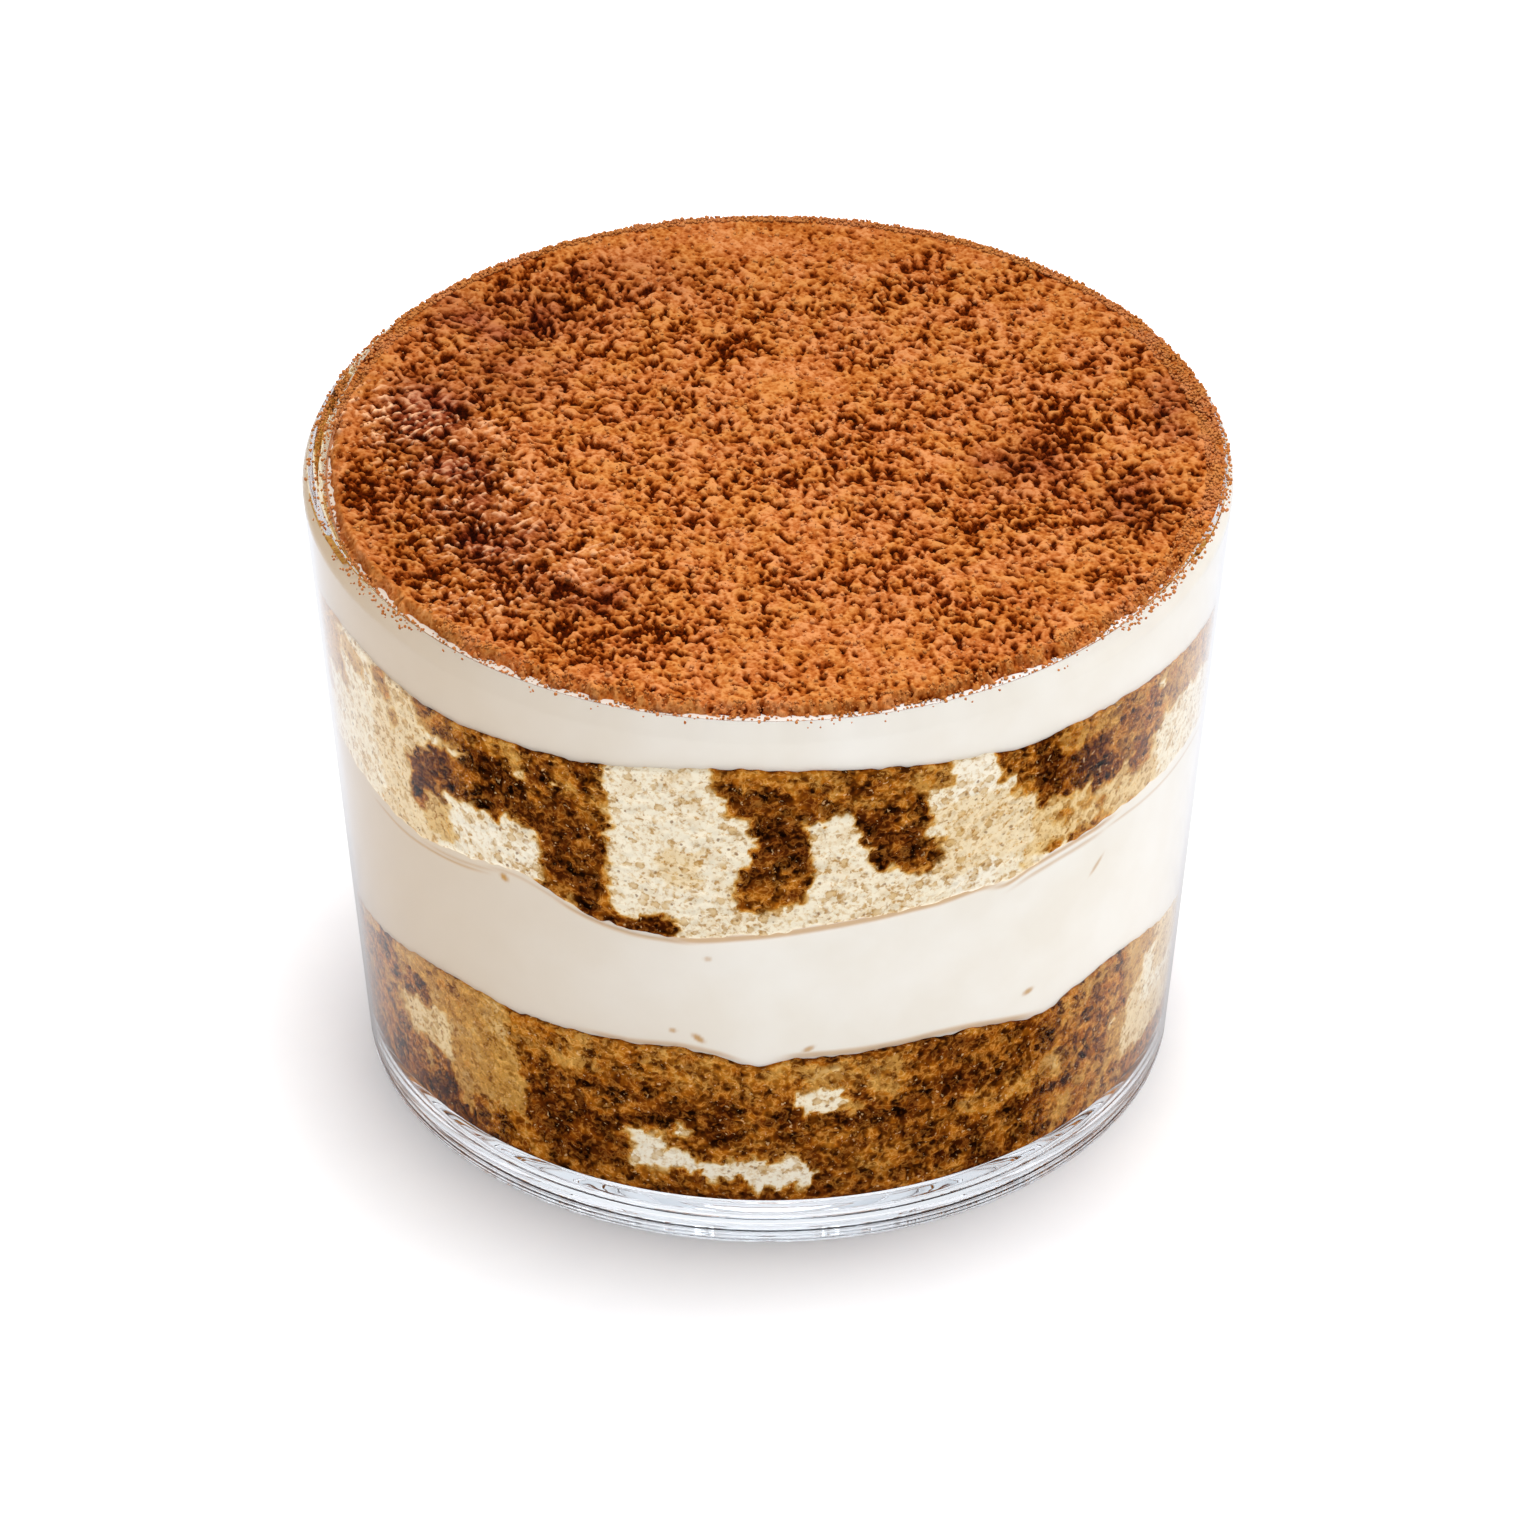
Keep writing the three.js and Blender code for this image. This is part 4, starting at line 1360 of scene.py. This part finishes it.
def dry_crumb(finish, coffee, bent, mottle):
    """Pale crumb: cream to yellow by coffee, with soft tan pores that have a golden rim and painted shade
    inside, and brown dots.
    """
    base, shade, golden = (finish.ramp(coffee, stops) for stops in (DRY_BASE, DRY_SHADE, DRY_GOLDEN))
    cloudy = finish.noise(1.9, 2.0, 0.6)
    pore, owner = finish.cells(1.15, bent)
    pore = finish.plus(pore, finish.span(mottle, 0.3, 0.7, 0.14, -0.14))
    opening = finish.plus(owner, finish.span(cloudy, 0.35, 0.65, -0.45, 0.3))
    is_open = finish.span(opening, 0.35, 0.6)
    # Painted shade inside the open pores.
    inside = finish.times(is_open, finish.span(pore, 0.5, 0.3))
    ring = finish.times(finish.span(pore, 0.46, 0.36), finish.span(pore, 0.2, 0.34))
    rim = finish.times(is_open, ring, finish.span(mottle, 0.35, 0.6))
    colour = finish.mix(finish.span(cloudy, 0.5, 0.72, 0.0, 0.4), base, shade)
    colour = finish.mix(finish.span(mottle, 0.5, 0.66, 0.0, 0.8), colour, shade)
    colour = finish.mix(finish.times(inside, 0.75), colour, shade)
    colour = finish.mix(finish.times(rim, 0.8), colour, golden)
    flecks = finish.span(finish.noise(0.6, 1.0, 0.6, bent), 0.58, 0.68, 0.0, 0.85)
    colour = finish.mix(finish.times(flecks, finish.span(cloudy, 0.4, 0.6, 0.1)), colour, golden)
    dot, owner = finish.cells(0.8, bent)
    dots = finish.times(finish.span(dot, 0.26, 0.14, 0.0, 0.75), finish.span(owner, 0.72, 0.76))
    return finish.mix(dots, colour, srgb(*DRY_DOT))


# %% Soaked crumb
WALLS = [
    (0.36, 214, 158, 76), (0.55, 198, 124, 36), (0.72, 174, 96, 18), (0.88, 122, 58, 9), (1.0, 86, 36, 6),
]
# The hollows: coffee in the cells, darkened further by painted shade.
HOLLOWS_SHADED = [
    (0.36, 150, 94, 32), (0.55, 104, 54, 12), (0.72, 66, 30, 5), (0.88, 38, 15, 3), (1.0, 24, 9, 2),
]
THREADS = [(0.45, 238, 188, 106), (0.75, 218, 150, 66), (1.0, 160, 92, 32)]
# Painted glints: small light flecks laid on the soaked crumb.
GLINT = (228, 186, 132)
# A step, in metres, to where the same noise looks unrelated.
ASIDE = (0.0371, 0.0213, 0.0119)


def threads(finish, size, width, place):
    """Thin curled threads: where a soft noise passes its middle value, as a map's contour line does."""
    field = finish.noise(size, 1.0, 0.5, place)
    away = finish.math("ABSOLUTE", finish.math("SUBTRACT", field, 0.5), 0.0)
    return field, finish.span(away, 0.3 * width, width, 1.0, 0.0)


def soaked_crumb(finish, coffee, dent, bent, mottle):
    """Soaked crumb: golden brown and dark by places, with holes darkened partly by painted shade, light
    threads where walls show, and painted glints.
    """
    walls, hollows, light = (finish.ramp(coffee, stops) for stops in (WALLS, HOLLOWS_SHADED, THREADS))
    aside = finish.add("ShaderNodeVectorMath", {0: bent, 1: ASIDE}, operation="ADD")
    field, coarse = threads(finish, 0.75, 0.075, bent)
    other, fine = threads(finish, 0.55, 0.08, aside)
    patchy = finish.noise(1.5, 2.0, 0.5)
    deep = finish.plus(
        finish.span(field, 0.3, 0.62, 0.55, -0.1),
        finish.span(other, 0.3, 0.6, 0.35, 0.0),
        finish.span(dent, 0.0, 1.0, -0.05, 0.2),
        finish.span(patchy, 0.36, 0.64, -0.35, 0.5),
        finish.span(mottle, 0.35, 0.65, -0.12, 0.18),
        clamp=True,
    )
    colour = finish.mix(deep, walls, hollows)
    coarse = finish.times(coarse, finish.span(other, 0.44, 0.58, 0.0, 0.7))
    fine = finish.times(fine, finish.span(field, 0.48, 0.6, 0.0, 0.6))
    shown = finish.times(finish.math("MAXIMUM", coarse, fine), finish.span(patchy, 0.4, 0.6, 1.0, 0.6))
    colour = finish.mix(shown, colour, light)
    # Painted glints.
    glint = finish.span(finish.noise(0.42, 1.5, 0.5, aside), 0.67, 0.72, 0.0, 0.7)
    return finish.mix(glint, colour, srgb(*GLINT))


# %% Sponge
BEND_SIZE = 0.7
BEND_SWING = 0.45


def sponge_finish(name):
    """The dry and the soaked crumb, mixed by the amount of coffee, on places bent by noise."""
    finish = Finish(bpy.data.materials.new(name))
    coffee = finish.value_of("coffee")
    dent = finish.value_of("dent")
    mottle = finish.noise(0.5, 3.0, 0.65)
    bend = finish.noise(BEND_SIZE, 1.0, 0.5).node.outputs["Color"]
    inputs = {0: bend, 1: (BEND_SWING * MM,) * 3, 2: finish.place()}
    bent = finish.add("ShaderNodeVectorMath", inputs, operation="MULTIPLY_ADD")
    dry = dry_crumb(finish, coffee, bent, mottle)
    soaked = soaked_crumb(finish, coffee, dent, bent, mottle)
    frayed = finish.plus(coffee, finish.span(finish.noise(0.5, 2.0, 0.6, bent), 0.3, 0.7, -0.3, 0.3))
    colour = finish.mix(finish.span(frayed, 0.32, 0.46), dry, soaked)
    return finish.matt(colour, 0.6, 0.0, finish.bump(mottle, 0.12, 0.8))


sponge_above.data.materials.append(sponge_finish("sponge_above"))
sponge_below.data.materials.append(sponge_finish("sponge_below"))

# %% [markdown]
# ### Cream
# Mascarpone cream is a warm white, with a soft gloss and faint clouds in it. Painted shade makes it darker
# and warmer towards the left, the darker side of the room. Coffee tints it tan along the sponge. Where it lies
# bare on top it is greyer, from painted shade and a film of fine cocoa dust, and darker towards the left.

# %% Cream
CREAM_DIM = (243, 235, 222)
CREAM_BRIGHT = (248, 242, 232)
CREAM_LEFT_SHADE = (204, 180, 150)
CREAM_STAIN = (194, 142, 66)
# Bare cream on top, greyer by painted shade and a film of cocoa dust, and darker on the left by painted
# shade: from left to right, the share of the way, then red, green and blue.
CREAM_BARE_DUST_AND_SHADE = [(0.0, 186, 174, 160), (0.5, 202, 194, 186), (1.0, 211, 209, 206)]
# Where the painted shade on the left fades out, in millimetres along x; then the same for the bare top.
LEFT_SHADE_FROM = -40.0
LEFT_SHADE_TO = 0.0
BARE_SHADE_FROM = -30.0
BARE_SHADE_TO = 25.0


def cream_finish(name):
    """Warm white, clouded by wide noise, with painted shade that makes it darker and warmer on the left and
    greyer on the bare top, which also has a film of cocoa dust, and the stain laid over it in tan.
    """
    finish = Finish(bpy.data.materials.new(name))
    clouds = finish.span(finish.noise(9.0, 3.0, 0.5), 0.35, 0.65)
    across = finish.add("ShaderNodeSeparateXYZ", {0: finish.place()}, "X")
    colour = finish.mix(clouds, srgb(*CREAM_DIM), srgb(*CREAM_BRIGHT))
    # Painted shade: the cream darker and warmer towards the left.
    left_shade = finish.span(across, LEFT_SHADE_FROM * MM, LEFT_SHADE_TO * MM, 1.0, 0.0)
    colour = finish.mix(left_shade, colour, srgb(*CREAM_LEFT_SHADE))
    # Painted shade, with a film of cocoa dust, on the bare top of the cream: greyer, and darker towards the left.
    bare = finish.ramp(finish.span(across, BARE_SHADE_FROM * MM, BARE_SHADE_TO * MM), CREAM_BARE_DUST_AND_SHADE)
    colour = finish.mix(finish.value_of("bare"), colour, bare)
    colour = finish.mix(finish.value_of("stain"), colour, srgb(*CREAM_STAIN))
    return finish.matt(colour, 0.45, 0.3, finish.bump(finish.noise(1.6, 2.0, 0.5), 0.05, 0.5))


cream_below.data.materials.append(cream_finish("cream_below"))
cream_above.data.materials.append(cream_finish("cream_above"))

# %% [markdown]
# ### Cocoa
# Dry cocoa scatters light like dust: it is matt, light orange brown on its clumps and dark brown in its
# gaps, partly its own colour and partly painted shade. Moist cocoa is darker and redder, and the sieve left
# pale strokes in it, paler on the crests as painted highlight.

# %% Cocoa
# Colours by the depth of the gaps, darker down them partly as painted shade: the depth, then red, green
# and blue.
DRY_COCOA_AND_GAP_SHADE = [
    (0.0, 202, 132, 80), (0.22, 181, 105, 52), (0.42, 158, 79, 30),
    (0.62, 116, 44, 7), (0.82, 78, 23, 3), (1.0, 42, 11, 2),
]
MOIST_COCOA_AND_GAP_SHADE = [
    (0.0, 162, 90, 58), (0.22, 132, 61, 33), (0.42, 100, 36, 15),
    (0.62, 68, 19, 7), (0.82, 44, 11, 5), (1.0, 26, 6, 4),
]
GOLDEN_TINT = (251, 252, 226)
PALE_STROKE_AND_HIGHLIGHT = (232, 182, 140)
DARK_LEFT = (-36.0, -12.0)
DARK_BACK = (-8.0, 36.0)
DARKEST = 0.88


def cocoa_finish(name):
    """Colour by gap and moisture, broken up by noise and small holes, with fine bumps for the powder. It is
    darker down the gaps and in the holes partly as painted shade, and paler on strokes and crests partly as
    painted highlight.

    It is a little darker on the left and at the back, where less of the lamp's light falls.
    """
    finish = Finish(bpy.data.materials.new(name))
    fine = finish.noise(0.34, 2.0, 0.6)
    centre, _ = finish.cells(0.55)
    # Small holes, darker as painted shade in them.
    holes = finish.times(finish.span(centre, 0.12, 0.42, 1.0, 0.0), finish.span(fine, 0.4, 0.56, 1.0, 0.25))
    deep = finish.plus(
        finish.value_of("gap"),
        finish.span(fine, 0.3, 0.7, -0.2, 0.14),
        finish.span(holes, 0.0, 1.0, -0.06, 0.4),
        clamp=True,
    )
    dry, moist = finish.ramp(deep, DRY_COCOA_AND_GAP_SHADE), finish.ramp(deep, MOIST_COCOA_AND_GAP_SHADE)
    colour = finish.mix(finish.value_of("moist"), dry, moist)
    place = finish.add("ShaderNodeSeparateXYZ", {0: finish.place()}).node.outputs
    left, right = (side * MM for side in DARK_LEFT)
    front, back = (side * MM for side in DARK_BACK)
    leftwards = finish.span(place["X"], left, right, DARKEST, 1.0)
    backwards = finish.span(place["Y"], front, back, 1.0, DARKEST)
    tone = finish.span(finish.value_of("tone"), 0.0, 1.0, 0.875, 0.98)
    shade = finish.times(tone, finish.math("MINIMUM", leftwards, backwards))
    grey = finish.add("ShaderNodeCombineColor", {0: shade, 1: shade, 2: shade})
    colour = finish.mix(1.0, colour, grey, "MULTIPLY")
    golden = finish.mix(1.0, colour, srgb(*GOLDEN_TINT), "MULTIPLY")
    colour = finish.mix(finish.span(finish.noise(3.4, 1.0, 0.5), 0.42, 0.58), colour, golden)
    # Pale strokes, with painted highlight on the crests.
    colour = finish.mix(finish.value_of("pale"), colour, srgb(*PALE_STROKE_AND_HIGHLIGHT))
    relief = finish.math("SUBTRACT", fine, finish.times(holes, 0.2))
    return finish.matt(colour, 0.9, 0.0, finish.bump(relief, 0.12, 0.9))


cocoa_matt = cocoa_finish("cocoa_matt")
for piece in bed_patches + loose_powder:
    piece.data.materials.append(cocoa_matt)

# %% [markdown]
# ## Tie the pieces to the model
# Each piece rides on the imported body, and the imported node it stands for is hidden.

# %% Ride and replace
for piece, node, slot in (
    (glass, "glass_cup", "clear_glass"),
    (sponge_below, "sponge_lower", "soaked_sponge"),
    (sponge_above, "sponge_upper", "pale_sponge"),
    (cream_below, "cream_lower", "cream"),
    (cream_above, "cream_upper", "cream"),
    *((patch, "cocoa_dusting", "cocoa") for patch in bed_patches),
):
    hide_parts(node)
    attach(piece, "root")
for piece in loose_powder:
    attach(piece, "root")

# %% [markdown]
# ## Table, light and camera
# A dessert like this is shown on a white table, with one wide soft lamp above it, a little behind and to the
# right, in a bright white room. The room is brighter behind and on the right, so the left is a little darker.

# %% A pale floor
FLOOR_SIZE = 4.0
FLOOR_DROP = 0.05


def pale_floor():
    """A flat square, a hair below the foot: a film of air is left under the glass, as on a real table."""
    half = FLOOR_SIZE / MM / 2
    points = np.array([(-half, -half, 0.0), (half, -half, 0.0), (half, half, 0.0), (-half, half, 0.0)])
    points[:, 2] = -FLOOR_DROP
    floor = make_piece("floor", points, np.arange(4), np.array([4]))
    finish = Finish(bpy.data.materials.new("pale_floor"))
    colour = finish.mix(finish.noise(6.0, 2.0, 0.5), srgb(244, 245, 248), srgb(248, 249, 251))
    floor.data.materials.append(finish.matt(colour, 0.8, 0.2))


pale_floor()

# %% Light the room
ROOM_LEFT = (0.78, 0.78, 0.79, 1.0)
ROOM_RIGHT = (1.0, 1.0, 1.0, 1.0)
ROOM_FRONT = 0.45
ROOM_BACK = 1.15
KEY_POWER = 16.0
KEY_SIZE = 0.8
KEY_PLACE = (0.08, 0.12, 1.2)
AIM = (0.0, 0.0, 0.03)


def light_room():
    """A white room: a little darker on the left than on the right, and brighter behind than in front."""
    world = bpy.data.worlds.new("white_room")
    bpy.context.scene.world = world
    room = Finish(world, "ShaderNodeOutputWorld")
    way = room.add("ShaderNodeTexCoord", out="Generated")
    parts = room.add("ShaderNodeSeparateXYZ", {0: way}).node.outputs
    side = room.mix(room.span(parts["X"], -1.0, 1.0), ROOM_LEFT, ROOM_RIGHT)
    strength = room.span(parts["Y"], -1.0, 1.0, ROOM_FRONT, ROOM_BACK)
    room.close(room.add("ShaderNodeBackground", {"Color": side, "Strength": strength}))


def aimed(thing, place, target):
    """Puts a lamp or camera at a place, looking at a target: its -Z axis points along the line between."""
    thing.location = place
    direction = Vector(target) - Vector(place)
    thing.rotation_euler = direction.to_track_quat("-Z", "Y").to_euler()


def soft_lamp(name, place, power, size):
    """A square lamp of a size, aimed at the cup."""
    lamp = bpy.data.lights.new(name, "AREA")
    lamp.energy = power
    lamp.size = size
    holder = bpy.data.objects.new(name, lamp)
    bpy.context.scene.collection.objects.link(holder)
    aimed(holder, place, AIM)


light_room()
soft_lamp("key_lamp", KEY_PLACE, KEY_POWER, KEY_SIZE)

# %% Point the camera
CAMERA_RISE = math.radians(34.94)
CAMERA_DISTANCE = 1.26
CAMERA_TARGET = (0.0, 0.0, 0.02676)
CAMERA_LENS = 322.7
CAMERA_SENSOR = 36.0
CAMERA_NEAR = 0.05

camera_data = bpy.data.cameras.new("camera")
camera_data.lens = CAMERA_LENS
camera_data.sensor_width = CAMERA_SENSOR
camera_data.clip_start = CAMERA_NEAR
camera = bpy.data.objects.new("camera", camera_data)
bpy.context.scene.collection.objects.link(camera)
camera_place = (
    0.0,
    -CAMERA_DISTANCE * math.cos(CAMERA_RISE),
    CAMERA_TARGET[2] + CAMERA_DISTANCE * math.sin(CAMERA_RISE),
)
aimed(camera, camera_place, CAMERA_TARGET)
bpy.context.scene.camera = camera
bpy.context.scene.view_settings.view_transform = "Standard"

# Light runs round and round in the thick floor of the glass: cut short, it would leave black arcs there.
GLASS_BOUNCES = 24
FOOD_BOUNCES = 3
cycles = bpy.context.scene.cycles
cycles.max_bounces = GLASS_BOUNCES
cycles.glossy_bounces = GLASS_BOUNCES
cycles.transmission_bounces = GLASS_BOUNCES
cycles.diffuse_bounces = FOOD_BOUNCES
print("camera at", [round(value, 3) for value in camera_place])

# %% [markdown]
# ## Bring the scene up to date
# The dressed model has to keep the size of the imported one; here the scene is brought up to date.

# %% Update the scene
bpy.context.view_layer.update()
